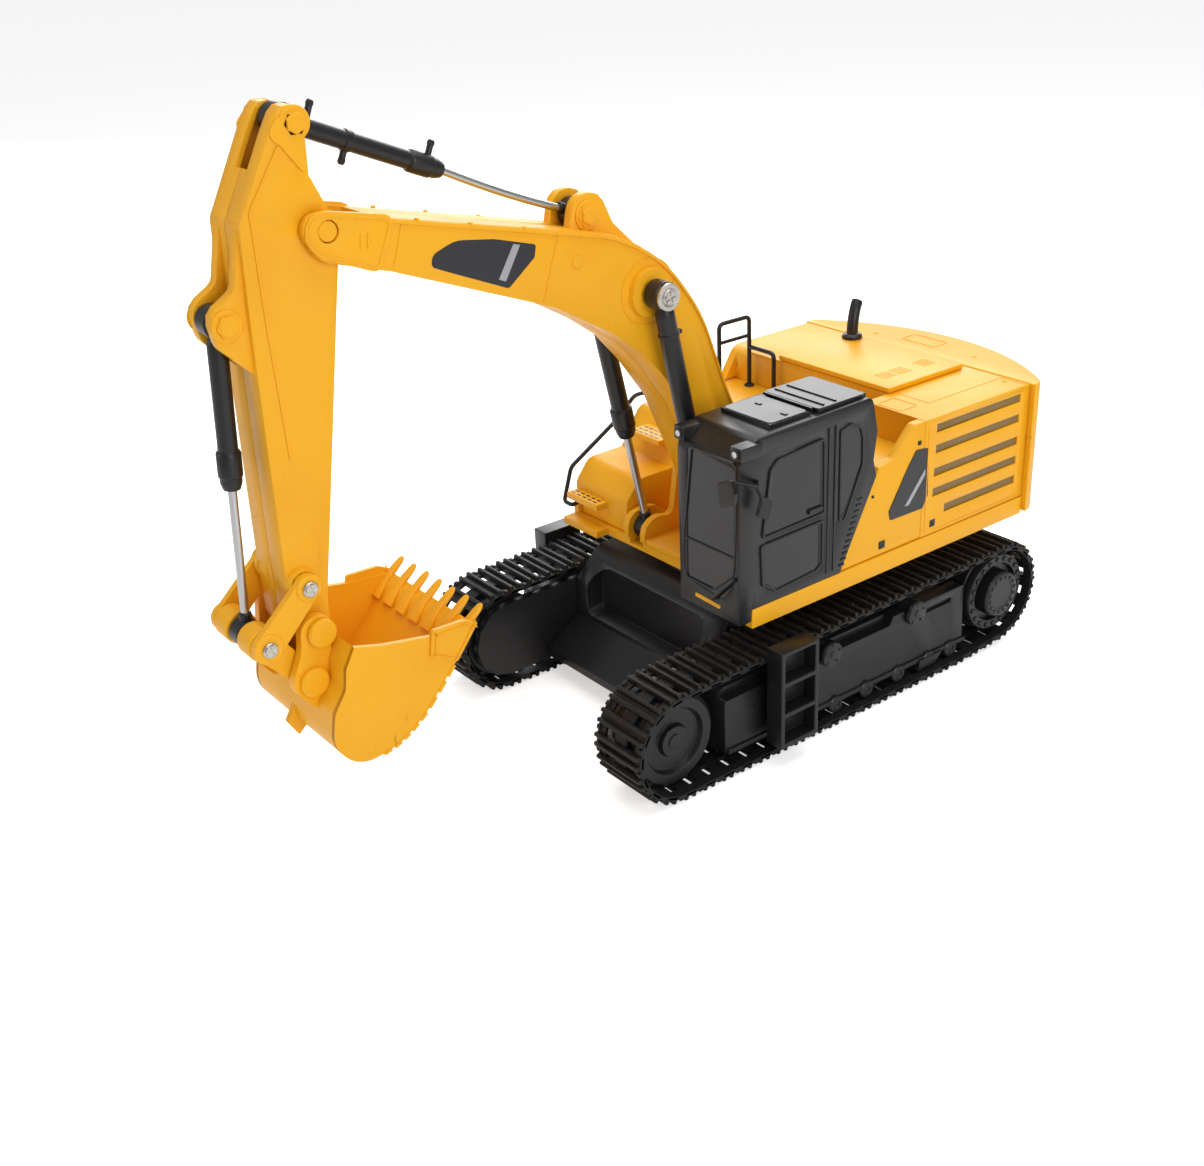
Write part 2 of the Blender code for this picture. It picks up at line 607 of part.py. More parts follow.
def build_engine_housing():
    """The rear body: a shell open underneath, with the left side panel that meets the cab."""
    front, back = 41.0, SEAM_Y - GAP
    base = RAIL_TOP + GAP
    shell = plate("shell", "X", rounded((front, base), (back, base), (back, HOOD_TOP, 1.2), (front, HOOD_TOP)),
                  -HOUSE_HALF, HOUSE_HALF)
    side = plate("side", "X", rounded((-2.2, base + 0.4), (front + 2, base + 0.4), (front + 2, 97.0), (16.6, 97.0),
                                      (15.0, 94.8)), 30.5, HOUSE_HALF - 1.0)
    cheek = plate("cheek", "X", rounded((-2.6, base + 0.2), (43.7, base + 0.2), (43.7, HOOD_TOP - 0.2),
                                        (35.4, HOOD_TOP - 0.2, 1.5), (24.6, 98.8, 2), (16.6, 97.6), (15.2, 95.2)),
                  57.0, HOUSE_HALF - 0.3)
    join(shell, side, cheek)
    cut(shell, block("bay_front", (-57, 30, 60), (30.2, HOOD_FRONT_Y, 120)))
    cut(shell, plate("right_cheek", "X", rounded((20, 50), (HOOD_FRONT_Y, 50), (HOOD_FRONT_Y, 96.6), (47, 96.6),
                                                 (54.5, 108.0, 3), (62, 112), (20, 112)), -70, -50))
    cut(shell, block("bay", (-HOUSE_HALF + WALL, HOOD_FRONT_Y + WALL, 50),
                     (HOUSE_HALF - WALL, back - WALL, HOOD_TOP - WALL)))
    cut(shell, plate("side_bay", "X", rounded((1.4, 50), (HOOD_FRONT_Y + WALL + 2, 50),
                                              (HOOD_FRONT_Y + WALL + 2, 95.0), (18.2, 95.0), (1.4, 62.4)),
                     32.5, HOUSE_HALF - WALL - 0.1))
    cut(shell, block("left_bay", (32.5, front + WALL, 70), (HOUSE_HALF - WALL, HOOD_FRONT_Y + 4, HOOD_TOP - WALL)))
    for _, side_sign in SIDES:
        for centre, front_y in GRILLE_SLOTS:
            start = front_y if side_sign > 0 else max(front_y, RIGHT_GRILLE_FRONT_Y)
            low, high = x_span(side_sign, HOUSE_HALF - WALL - 1.0, HOUSE_HALF + 4.0)
            cut(shell, block("grille_slot", (low, start, centre - 1.7), (high, 96.4, centre + 1.7)))
    finish(shell, "engine_housing", "house", YELLOW)

    for word, side_sign in SIDES:
        panel_front = 45.0 if side_sign > 0 else RIGHT_GRILLE_FRONT_Y - 0.6
        low, high = x_span(side_sign, HOUSE_HALF - WALL - 1.6, HOUSE_HALF - WALL - GAP)
        panel = block("grille", (low, panel_front, 66), (high, 98.6, 107.2))
        inner, outer = x_span(side_sign, HOUSE_HALF - WALL - 1.0, HOUSE_HALF - 0.6)
        for centre, front_y in GRILLE_SLOTS:
            start = GAP + max(front_y, panel_front + 0.6)
            join(panel, block("strip", (inner, start, centre - 1.4), (outer, 96.1, centre + 1.4)))
        finish(panel, f"side_grille_{word}", "house", MESH_BROWN)

    lid = plate("lid", "Z", rounded((-30.6, HOOD_FRONT_Y), (31, HOOD_FRONT_Y), (31, 98, 1.5), (-30.6, 98, 1.5)),
                HOOD_TOP + GAP, 112.0)
    finish(lid, "hood_lid", "house", YELLOW)


def build_counterweight():
    """The rear weight: an arc in plan, rounded at its lower edge, hollow from the front."""
    sagitta = COUNTERWEIGHT_DEPTH - 4.0
    half = COUNTERWEIGHT_HALF
    radius = (half ** 2 + sagitta ** 2) / (2 * sagitta)
    centre = (0.0, SEAM_Y + COUNTERWEIGHT_DEPTH - radius)
    reach = math.asin(half / radius)
    back = arc(centre, radius, math.pi / 2 - reach, math.pi / 2 + reach, 14)[1:-1]
    outline = rounded((-half, SEAM_Y), (half, SEAM_Y), (half, SEAM_Y + 4.6, 7), *back, (-half, SEAM_Y + 4.6, 7))
    weight = plate("weight", "Z", outline, DECK_BOTTOM + 1.2, HOOD_TOP)
    hollow = block("hollow", (-HOUSE_HALF + 3, SEAM_Y - 5, 58), (HOUSE_HALF - 3, SEAM_Y + 3, HOOD_TOP - 3))
    cut(weight, hollow)
    cut(weight, block("deep_hollow", (-44, SEAM_Y - 5, 60), (44, SEAM_Y + 12, HOOD_TOP - 6)))
    finish(weight, "counterweight", "house", YELLOW)


def build_tank_housing():
    """The stepped box beside the boom: low front tank with a tread plate, higher tank behind it."""
    outer, inner, back = -HOUSE_HALF, -27.4, HOOD_FRONT_Y - GAP
    shell = plate("tank", "X", rounded(
        (-33, 58.1), (back, 58.1), (back, 96), (2, 95.6, 5), (-8.5, 79.8), (-26, 79.6, 5), (-33, 71, 5)), outer, inner)
    cut(shell, plate("tank_bay", "X", rounded(
        (-31, 50), (back - WALL, 50), (back - WALL, 93.8), (3, 93.6, 3), (-7, 77.6), (-25.6, 77.4, 4),
        (-31, 70.4, 4)), outer + WALL, inner - WALL))
    cut(shell, block("over_rail", (-63, -40, 50), (-57.7, 60, RAIL_TOP + GAP)))
    join(shell, block("middle_tread", (-60.2, -38.6, 65.0), (-40.0, -30, 67.8)))
    join(shell, block("upper_tread", (-50, -12.5, 88.6), (-31, -2, 91.0)))
    finish(shell, "tank_housing", "house", YELLOW)

    rail = tube("rail", bent(((-58, -34.3, 63.0), (-58, -37.4, 62.0), (-64, -37.4, 62.0), (-64, -33, 76),
                              (-63.4, -9.7, 90), (-62.4, 1, 99.6), (-59, 26, 99.6), (-59, 26, 96.4)), 2.0), 0.9)
    finish(rail, "step_handrail", "house", BLACK)

    foot = 96.0 + GAP
    guard = tube("guard", bent(((-45, 33, foot), (-45, 33, 126.5), (-45, 50, 126.5), (-45, 50, foot)), 2.6), 0.95)
    join(guard, bar("middle_bar", (-45, 33, 118.4), (-45, 50, 118.4), 0.8, 8))
    join(guard, tube("low_bar", bent(((-45, 50, 113.4), (-30, 50, 113.4), (-30, 50, foot)), 2.4), 0.94))
    finish(guard, "walkway_handrail", "house", BLACK)


def build_boom_bracket():
    """The pair of deck cheeks that hold the boom foot, with the ears for the boom rams."""
    base = block("bracket", (-26.6, -35.0, 58.1), (26.6, 34, 60.4))
    for _, side in SIDES:
        cheek = rounded((-35.6, 58.6), (28, 58.6), (4, 88, 8), (-6, 94.6, 8), (-17, 90, 7), (-21, 66.5, 3),
                        (-28, 68.9, 6), (-35.6, 66, 6))
        join(base, side_plate("cheek", side, cheek, BOOM_HALF + GAP, BOOM_HALF + 3.4))
        ear = rounded((-35.6, 58.6), (-14, 58.6), (-14, 63), (-22, 68.6, 6), (-35.6, 68.6, 6.4))
        join(base, side_plate("ear", side, ear, 23.6, 26.6))
        join(base, bar("ear_stub", (side * 25, *BOOM_RAM_FOOT), (side * 27.2, *BOOM_RAM_FOOT), 3.4, 10))
    cut(base, bar("foot_bore", (-30, *BOOM_FOOT), (30, *BOOM_FOOT), PIN_RADIUS + GAP))
    for _, side in SIDES:
        low, high = x_span(side, BOOM_HALF + 3.4, 23.6)
        cut(base, block("eye_way", (low, -40, 56), (high, -19, 62)))
    finish(base, "boom_bracket", "house", YELLOW)
    pin = bar("pin", (-17.6, *BOOM_FOOT), (17.6, *BOOM_FOOT), PIN_RADIUS)
    finish(pin, "boom_foot_pin", "house", STEEL)


def build_cab():
    side = rounded((-53.4, 57.2), (-48, 57.2), (-48, RAIL_TOP + GAP), (-3.4, RAIL_TOP + GAP), (14.4, 95.4),
                   (12.6, 102), (14.2, 113), (11.0, 126.6, 3), (-45, 125.6, 4), (-53.4, 118, 4))
    cab = plate("cab", "X", side, CAB_INNER_X, CAB_OUTER_X)
    hollow = rounded((-51, 50), (-5, 50), (12, 95), (10.4, 102), (12.0, 113), (9.4, 124.2, 2), (-44, 123.2, 3),
                     (-51, 116, 3))
    cut(cab, plate("cab_room", "X", hollow, CAB_INNER_X + 2.2, CAB_OUTER_X - 2.2))
    cut(cab, plate("windscreen", "Y", rounded((33.4, 66.5, 2), (52, 64.5, 2), (58, 72), (59, 116), (34.4, 118, 2)),
                   -60, -52.7))
    for window in (((-41, 88), (-14.5, 88), (-14.5, 116, 2), (-36, 118, 5)),
                   ((-41, 67, 2), (-15, 66, 2), (-15, 86), (-41, 86)),
                   ((-7.4, 78, 2), (7.4, 103), (8.4, 119, 4), (-7.4, 120, 2))):
        cut(cab, plate("window", "X", rounded(*window), CAB_OUTER_X - 0.8, CAB_OUTER_X + 3))
    join(cab, block("roof_hatch", (33, -36, 124), (58, -17, 127.4)))
    for x in (31.0, 60.2):
        join(cab, block("lamp_box", (x - 2.6, -53.8, 119.6), (x + 2.6, -44, 124.4)))
    for rib in range(5):
        y = -12.0 + 4.8 * rib
        join(cab, block("roof_rib", (32, y, 124), (59, y + 2.6, 127.8)))
    finish(cab, "cab_shell", "house", BLACK)

    for word, x in (("left", 60.2), ("right", 31.0)):
        lens = turned("lens", (x, -53.8 - GAP, 122.0), (x, -56, 122.0), ((0.0, 1.9), (0.8, 1.7), (1.3, 0.9)), 12)
        finish(lens, f"cab_lamp_{word}", "house", CLEAR_LENS)
    arm = tube("mirror_arm", bent(((CAB_OUTER_X + 1, -45, 110), (66, -52, 111), (65, -61, 114.6), (62, -62, 114.6)),
                                  1.5), 0.8)
    join(arm, block("front_mirror", (60.5, -63.4, 106), (67.6, -61.4, 116)))
    join(arm, block("side_mirror", (65.4, -53.4, 100), (67.0, -48.0, 112)))
    finish(arm, "cab_mirrors", "house", BLACK)


def build_house_internals():
    """What the toy needs inside: battery box, control board, and the exhaust on its hood."""
    pack = block("battery", (-24, 58, 58.1), (24, 94, 74))
    finish(pack, "battery_pack", "house", BATTERY)
    board = block("board", (-28, 58, 86), (28, 95, 87.6))
    for x in (-18, -2, 14):
        join(board, block("chip", (x, 64, 87), (x + 8, 74, 89.4)))
    finish(board, "control_board", "house", GREEN)
    x, y = EXHAUST
    route = [(x, y, 113.0)]
    for step in range(6):
        bend = 0.2 * step
        route.append((x - 4 * (1 - math.cos(bend)), y + 10 * (1 - math.cos(bend)), 114 + 14 * math.sin(bend)))
    pipe = tube("pipe", route, 2.5)
    join(pipe, bar("collar", (x, y, 112.0 + GAP), (x, y, 114.4), 4.4, 14, 3.2))
    finish(pipe, "exhaust_pipe", "house", BLACK)


# ---------------------------------------------------------------- arm

def shell_half(name, side, corners, half, wall):
    """One moulded half: the outline filled out to its half width, hollowed from the middle plane."""
    outer = side_plate(name, side, rounded(*corners), GAP / 2, half)
    cut(outer, side_plate("hollow", side, rounded(*inset(corners, wall)), -1.0, half - wall))
    return outer


def build_boom():
    corners = ((-178.6, 210.4, 7.4), (-175.6, 216.4, 7.4), (-86, 195.6), (-64, 190.4, 60), (-43.6, 178.6, 60),
               (-27.0, 156.6, 70), (-17.0, 129.0), (0.6, 88, 6), (-4, 75.6, 8), (-16.0, 79, 7), (-34.0, 120.8),
               (-54.6, 149.6, 70), (-90, 170.6), (-150, 194.2),
               (-173, 201.4, 7))
    for word, side in SIDES:
        half = shell_half("boom", side, corners, BOOM_HALF, 1.8)
        nose = rounded((-178.9, 208.6, 6), (-174.8, 216.9, 6), (-149.4, 211.5, 3), (-148.4, 208.6, 2),
                       (-154.4, 194.7, 3), (-173.2, 202.6, 6))
        join(half, side_plate("nose", side, nose, BOOM_HALF - 1.2, BOOM_HALF + 1.0))
        slot = rounded((-185, 185), (-150, 185), (-152.5, 214), (-156, 235), (-185, 235))
        cut(half, side_plate("stick_way", side, slot, -2, STICK_HALF + 0.5))
        lug = rounded((-80.6, 186), (-52, 178), (-52, 184.2), (-61.0, 193.0, 2), (-66.2, 204.4, 6.2),
                      (-76.8, 204.4, 6.2))
        join(half, side_plate("lug", side, lug, LUG_INNER, LUG_INNER + 3.6))
        low, high = x_span(side, -1.0, LUG_INNER)
        cut(half, bar("eye_way", (low, *ARM_RAM_ROD_END), (high, *ARM_RAM_ROD_END), 6.6))
        join(half, bar("lug_stub", (side * 7, *ARM_RAM_ROD_END), (side * 8.6, *ARM_RAM_ROD_END), 4.4, 6))
        join(half, bar("ram_boss", (side * 10, *BOOM_RAM_TOP), (side * 15.6, *BOOM_RAM_TOP), 8.6, 18))
        join(half, bar("foot_boss", (side * (1.2 + GAP), *BOOM_FOOT), (side * (BOOM_HALF - 0.6), *BOOM_FOOT), 5.4))
        cut(half, bar("foot_bore", (-20, *BOOM_FOOT), (20, *BOOM_FOOT), PIN_RADIUS + GAP))
        cut(half, bar("nose_bore", (-20, *BOOM_NOSE), (20, *BOOM_NOSE), NOSE_PIN_RADIUS + GAP))
        cut(half, bar("ram_bore", (-20, *BOOM_RAM_TOP), (20, *BOOM_RAM_TOP), PIN_RADIUS + GAP))
        finish(half, f"boom_shell_{word}", "boom", YELLOW)
    ram_pin = bar("ram_pin", (-24.0, *BOOM_RAM_TOP), (24.0, *BOOM_RAM_TOP), PIN_RADIUS)
    for _, side in SIDES:
        join(ram_pin, bar("washer", (side * 23.7, *BOOM_RAM_TOP), (side * 24.7, *BOOM_RAM_TOP), 5.0, 18))
        join(ram_pin, bar("head", (side * 24, *BOOM_RAM_TOP), (side * 25.6, *BOOM_RAM_TOP), 2.9, 14))
    finish(ram_pin, "boom_ram_pin", "boom", STEEL)
    nose_pin = bar("nose_pin", (-13.6, *BOOM_NOSE), (13.6, *BOOM_NOSE), NOSE_PIN_RADIUS, 18)
    finish(nose_pin, "stick_pivot_pin", "boom", YELLOW)


def build_stick():
    corners = ((-182.6, 239), (-178.0, 246.6, 5), (-171.4, 245.0, 5), (-172.0, 226), (-166.0, 213, 12),
               (-166.0, 200), (-184.4, 95), (-184.6, 82, 6), (-197.4, 82, 6), (-197.6, 110), (-196.4, 190),
               (-195.4, 215, 4))
    for word, side in SIDES:
        half = shell_half("stick", side, corners, STICK_HALF, 1.6)
        join(half, bar("pivot_boss", (side * 0.4, *BOOM_NOSE), (side * (STICK_HALF - 0.6), *BOOM_NOSE), 6.4, 14))
        join(half, bar("tip_boss", (side * 0.4, *BUCKET_PIN), (side * (STICK_HALF - 0.6), *BUCKET_PIN), 4.8, 12))
        rib = rounded((-195, 216), (-189, 216), (-189, 178), (-197, 172), (-206.4, 181.5, 5), (-208.2, 191.5, 5),
                      (-199.0, 197, 4))
        join(half, side_plate("rib", side, rib, LUG_INNER + 0.2, LUG_INNER + 4.2))
        join(half, bar("crank_boss", (side * 3, *CRANK_PIN), (side * 12.7, *CRANK_PIN), 5.2, 18))
        for pivot in (ARM_RAM_HEAD, BUCKET_RAM_HEAD):
            inner = STICK_HALF - 1 if pivot is ARM_RAM_HEAD else LUG_INNER + 4
            join(half, bar("hex_boss", (side * inner, *pivot), (side * (inner + 1.8), *pivot), 3.6, 6))
        cut(half, side_plate("head_way", side, rounded((-192, 230), (-160, 222), (-160, 252), (-192, 252)), -2,
                             LUG_INNER))
        cut(half, side_plate("ram_way", side, rounded((-210, 176), (-197.4, 176), (-194.6, 187), (-197, 198),
                                                      (-210, 198)), -2, LUG_INNER))
        cut(half, bar("pivot_bore", (-20, *BOOM_NOSE), (20, *BOOM_NOSE), NOSE_PIN_RADIUS + GAP, 18))
        cut(half, bar("tip_bore", (-20, *BUCKET_PIN), (20, *BUCKET_PIN), PIN_RADIUS + GAP))
        cut(half, bar("crank_bore", (-20, *CRANK_PIN), (20, *CRANK_PIN), 1.8))
        finish(half, f"stick_shell_{word}", "stick", YELLOW)
    pin = bar("crank_pin", (-16.9, *CRANK_PIN), (16.9, *CRANK_PIN), 1.5, 12)
    for _, side in SIDES:
        join(pin, bar("head", (side * 16.5, *CRANK_PIN), (side * 17.6, *CRANK_PIN), 2.8, 16))
    finish(pin, "crank_pin", "stick", STEEL)


def build_bucket():
    """The toothed bucket: a curved shell between two side plates, with the pair of ears and two pins."""
    outline = rounded((-141.5, 77), (-150.0, 66, 60), (-164, 50.5), (-174, 44, 14), (-189.5, 41.2, 12),
                      (-198.0, 52, 12), (-195.8, 63.6), (-191.0, 70.6), (-190.0, 77.6), (-186.2, 84.4),
                      (-176.5, 81.6), (-158, 78.2))
    half = 28.0
    bucket = plate("bucket", "X", outline, -half, half)
    inner = rounded((-130, 92), (-144.5, 76.2), (-152.6, 66.4, 60), (-165.4, 52.6), (-175, 46.4, 12),
                    (-188, 43.6, 10), (-195, 53, 10), (-193.4, 63.0), (-189.0, 69.8), (-188.2, 77.2), (-184.0, 100))
    cut(bucket, plate("bowl", "X", inner, -half + 1.8, half - 1.8))
    teeth = 7
    pitch = (2 * half - 5.4) / (teeth - 1)
    for tooth in range(teeth):
        middle = -half + 2.7 + pitch * tooth
        blade = rounded((-148, 72.6), (-146.6, 69.4), (-136.4, 79.6), (-136.6, 81.6), (-138.2, 81.8), (-145.4, 75.6))
        join(bucket, plate("tooth", "X", blade, middle - 1.9, middle + 1.9))
    for _, side in SIDES:
        cutter = rounded((-160, 71), (-158, 80.4, 2), (-145, 79.8), (-141.0, 77.4), (-150, 66.6))
        join(bucket, side_plate("side_cutter", side, cutter, half - 1.0, half + 1.0))
        ear = rounded((-184.6, 92.0, 6.6), (-197.6, 94.2, 6.8), (-199.0, 82, 12), (-204.0, 71, 6.4), (-197, 61.8, 6),
                      (-192, 60), (-188, 84))
        join(bucket, side_plate("ear", side, ear, EAR_INNER, EAR_OUTER))
    join(bucket, plate("rib", "X", rounded((-196.4, 57.5), (-200.6, 50.6), (-197.2, 44.6), (-189, 52)), -1.1, 1.1))
    cut(bucket, bar("ear_bore", (-20, *BUCKET_PIN), (20, *BUCKET_PIN), PIN_RADIUS + GAP))
    for _, side in SIDES:
        join(bucket, bar("link_stub", (side * (EAR_INNER + 0.2), *BUCKET_LINK_PIN),
                         (side * (EAR_OUTER + 2.2), *BUCKET_LINK_PIN), 5.0, 16))
    finish(bucket, "bucket", "bucket", YELLOW)
    pivot_pin = bar("pivot_pin", (-EAR_OUTER - 0.5, *BUCKET_PIN), (EAR_OUTER + 0.5, *BUCKET_PIN), PIN_RADIUS)
    for _, side in SIDES:
        join(pivot_pin, bar("disc", (side * (EAR_OUTER + GAP), *BUCKET_PIN), (side * (EAR_OUTER + 2.2), *BUCKET_PIN),
                            5.0, 16))
    finish(pivot_pin, "bucket_pin", "bucket", YELLOW)


def build_linkage():
    """The cranks on the stick, the tie link to the bucket and the pin that joins them."""
    for word, side in SIDES:
        crank = side_plate("crank", side, link(CRANK_PIN, 4.6, LINK_PIN, 5.2), 13.0, 16.2)
        cut(crank, bar("crank_bore", (side * 10, *CRANK_PIN), (side * 20, *CRANK_PIN), 1.8))
        cut(crank, bar("link_bore", (side * 10, *LINK_PIN), (side * 20, *LINK_PIN), 1.8))
        finish(crank, f"crank_link_{word}", "crank", YELLOW)
        screw = bar("screw", (side * 7.0, *LINK_PIN), (side * 16.9, *LINK_PIN), 1.5, 12)
        join(screw, bar("head", (side * (16.2 + GAP), *LINK_PIN), (side * 17.6, *LINK_PIN), 2.8, 16))
        finish(screw, f"link_screw_{word}", "crank", STEEL)
    tie = bar("tie", (4.0, *LINK_PIN), (12.7, *LINK_PIN), 5.6, 18)
    join(tie, bar("tie_far", (-12.7, *LINK_PIN), (-4.0, *LINK_PIN), 5.6, 18))
    for _, side in SIDES:
        join(tie, side_plate("tie_arm", side, link(LINK_PIN, 4.8, BUCKET_LINK_PIN, 4.4), 5.0, 12.4))
    join(tie, bar("tie_foot", (-12.4, *BUCKET_LINK_PIN), (12.4, *BUCKET_LINK_PIN), 4.0, 16))
    cut(tie, bar("tie_bore", (-14, *LINK_PIN), (14, *LINK_PIN), 1.8))
    finish(tie, "tie_link", "tie_link", YELLOW)


def point_on(first, second, distance):
    """The point at a distance from first towards second, both (y, z) pairs."""
    first, second = Vector(first), Vector(second)
    return tuple(first + (second - first).normalized() * distance)


def build_ram(name, x, head, rod_end, barrel_body, rod_body, radius, barrel_length, eye_radius, ports):
    """A double-acting ram: black barrel with an eye at its head, chromed rod with an eye at the far end."""
    head_point, end_point = (x, *head), (x, *rod_end)
    rod_radius = radius * 0.46
    barrel = turned("barrel", head_point, end_point, (
        (eye_radius * 0.7, radius * 0.8), (eye_radius + 0.3, radius * 0.84), (eye_radius + 2.5, radius),
        (barrel_length * 0.46, radius), (barrel_length * 0.46, radius * 1.08), (barrel_length * 0.51, radius * 1.08),
        (barrel_length * 0.51, radius), (barrel_length - 12.4, radius), (barrel_length - 12.4, radius * 1.22),
        (barrel_length - 4, radius * 1.22), (barrel_length, radius * 0.9)), 12)
    join(barrel, bar("eye", (x - EYE_HALF, *head), (x + EYE_HALF, *head), eye_radius, 16))
    for share, up in ports:
        centre = Vector(point_on(head, rod_end, barrel_length * share))
        along = (Vector(rod_end) - Vector(head)).normalized()
        peg = centre + Vector((-along.y, along.x)) * up
        join(barrel, bar("port", (x, *centre), (x, *peg), 1.0, 8))
    bore_start = point_on(head, rod_end, eye_radius + 3.4)
    cut(barrel, bar("rod_bore", (x, *bore_start), end_point, rod_radius + GAP))
    cut(barrel, bar("eye_bore", (x - 6, *head), (x + 6, *head), PIN_RADIUS + GAP))
    finish(barrel, f"{name}_barrel", barrel_body, BLACK)

    rod_start = point_on(head, rod_end, barrel_length * 0.42)
    rod = bar("rod", (x, *rod_start), end_point, rod_radius)
    join(rod, bar("rod_eye", (x - EYE_HALF, *rod_end), (x + EYE_HALF, *rod_end), eye_radius, 16))
    finish(rod, f"{name}_rod", rod_body, CHROME)


def build_rams():
    for word, side in SIDES:
        build_ram(f"boom_ram_{word}", side * BOOM_RAM_X, BOOM_RAM_TOP, BOOM_RAM_FOOT, f"boom_barrel_{word}",
                  f"boom_rod_{word}", 3.5, 67.0, 5.2, ())
    build_ram("arm_ram", 0.0, ARM_RAM_HEAD, ARM_RAM_ROD_END, "arm_barrel", "arm_rod", 2.9, 57.0, 5.0,
              ((0.15, 7.0), (0.40, -6.0), (0.90, 6.8)))
    build_ram("bucket_ram", 0.0, BUCKET_RAM_HEAD, LINK_PIN, "bucket_barrel", "bucket_rod", 3.1, 52.0, 5.0, ())


def build_power_switch():
    slider = block("slider", (-4, -7.4, 9.4), (4, -2.6, 12.0))
    join(slider, block("nub", (-1.6, -7.4, 7.6), (1.6, -2.6, 10)))
    finish(slider, "power_switch", "power_slider", RUBBER)


def main():
    build_chassis()
    for word, side in SIDES:
        build_belt(word, side)
        build_wheels(word, side)
        build_track_frame(word, side)
        build_step_frame(word, side)
    build_slew_drive()
    build_deck()
    build_engine_housing()
    build_counterweight()
    build_tank_housing()
    build_boom_bracket()
    build_cab()
    build_house_internals()
    build_boom()
    build_stick()
    build_bucket()
    build_linkage()
    build_rams()
    build_power_switch()


main()
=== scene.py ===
"""Looks of the toy tracked excavator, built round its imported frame.

Lengths are millimetres on the drawing frame of the part: the origin is on the ground under the slew axis, the
front is -Y and the cab side is +X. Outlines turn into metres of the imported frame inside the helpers.
"""

import json
import math

import bmesh
import bpy
from mathutils import Matrix, Vector


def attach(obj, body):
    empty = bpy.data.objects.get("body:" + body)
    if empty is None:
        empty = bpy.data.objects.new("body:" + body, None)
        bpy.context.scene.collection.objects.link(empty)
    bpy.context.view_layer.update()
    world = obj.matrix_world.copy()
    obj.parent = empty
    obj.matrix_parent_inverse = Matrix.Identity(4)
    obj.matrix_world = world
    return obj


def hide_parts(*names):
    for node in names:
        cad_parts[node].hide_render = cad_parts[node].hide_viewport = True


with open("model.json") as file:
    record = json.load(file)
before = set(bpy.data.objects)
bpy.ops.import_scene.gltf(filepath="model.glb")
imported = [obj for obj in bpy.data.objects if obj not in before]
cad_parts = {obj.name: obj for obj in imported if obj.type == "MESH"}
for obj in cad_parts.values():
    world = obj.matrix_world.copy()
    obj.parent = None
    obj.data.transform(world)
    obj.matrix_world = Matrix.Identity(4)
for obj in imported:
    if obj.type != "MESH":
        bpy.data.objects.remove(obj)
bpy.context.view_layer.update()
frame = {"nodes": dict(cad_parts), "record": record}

MM = 0.001
JOINTS = {joint["name"]: joint for joint in frame["record"]["behaviour"]["joints"]}
SLEW_Y = JOINTS["house_slew"]["pos_m"][1] / MM
SIDES = (("left", 1), ("right", -1))
NODES = frame["nodes"]


def pivot(joint):
    """A joint's place as (y, z) on the drawing frame."""
    place = JOINTS[joint]["pos_m"]
    return (place[1] / MM - SLEW_Y, place[2] / MM)


BOOM_NOSE = pivot("stick_swing")
BOOM_RAM_TOP = pivot("boom_barrel_left_pivot")
ARM_RAM_HEAD = pivot("arm_barrel_pivot")
BUCKET_RAM_HEAD = pivot("bucket_barrel_pivot")
BUCKET_PIN = pivot("bucket_curl")
CRANK_PIN = pivot("crank_pivot")
LINK_PIN = pivot("tie_link_pivot")
SPROCKET = pivot("sprocket_left_spin")
IDLER = pivot("idler_left_spin")
BOOM_RAM_X = JOINTS["boom_barrel_left_pivot"]["pos_m"][0] / MM
TRACK_X = JOINTS["sprocket_left_spin"]["pos_m"][0] / MM
BOOM_RAM_FOOT = (-28.3, 61.7)
ARM_RAM_ROD_END = (-71.5, 197.2)
BUCKET_LINK_PIN = (-196.2, 71.4)
REAR_ROLLER = (62.0, 22.3)

# Widths of the arm
BOOM_HALF = 13.0
STICK_HALF = 10.0
LUG_INNER = 3.9
EYE_HALF = 3.4
EAR_INNER = 13.0
EAR_OUTER = 16.4
BUCKET_HALF = 28.0

# House
HOUSE_HALF = 61.0
COUNTERWEIGHT_HALF = 63.4
HOOD_TOP = 109.6
LID_TOP = 112.0
SEAM_Y = 102.0
CAB_OUTER_X = 61.4

# Belt
CLEAT_COUNT = 52
BELT_INNER_RADIUS = 18.95
BELT_OUTER_RADIUS = 20.4
CLEAT_RADIUS = 22.25
SHOE_RADIUS = 20.7
SHOE_HALF = 12.4

# Studio: strength of the room's light and of the backdrop, then name, place, size and power of each softbox
ROOM_LIGHT = 0.38
BACKDROP_LIGHT = 1.05
FLOOR_GLOW = 0.55
FLOOR_REACH_M = 6.0
SOFTBOXES = (
    ("top_softbox", (0.0, 0.1, 1.0), (1.0, 1.0), 6.5),
    ("back_softbox", (-0.75, 0.75, 0.62), (1.1, 0.6), 9.0),
    ("left_softbox", (1.0, -0.15, 0.5), (0.6, 0.6), 4.2),
    ("front_softbox", (-0.5, -1.0, 0.5), (0.6, 0.5), 1.6),
)

# Camera: angles in degrees, target and distance in mm of the drawing frame, lens in mm
CAMERA_AZIMUTH, CAMERA_ELEVATION, CAMERA_ROLL = 53.41, 26.10, -2.86
CAMERA_TARGET = (-28.98, -45.94, 39.37)
CAMERA_DISTANCE = 606.5
CAMERA_LENS = 44.82


# ---------------------------------------------------------------- materials

def new_group(name, inputs, outputs):
    """An empty shader group with float, colour or vector sockets."""
    tree = bpy.data.node_groups.new(name, "ShaderNodeTree")
    for label, kind, value in inputs:
        socket = tree.interface.new_socket(name=label, in_out="INPUT", socket_type=f"NodeSocket{kind}")
        if value is not None:
            socket.default_value = value
    for label, kind in outputs:
        tree.interface.new_socket(name=label, in_out="OUTPUT", socket_type=f"NodeSocket{kind}")
    return tree, tree.nodes.new("NodeGroupInput"), tree.nodes.new("NodeGroupOutput")


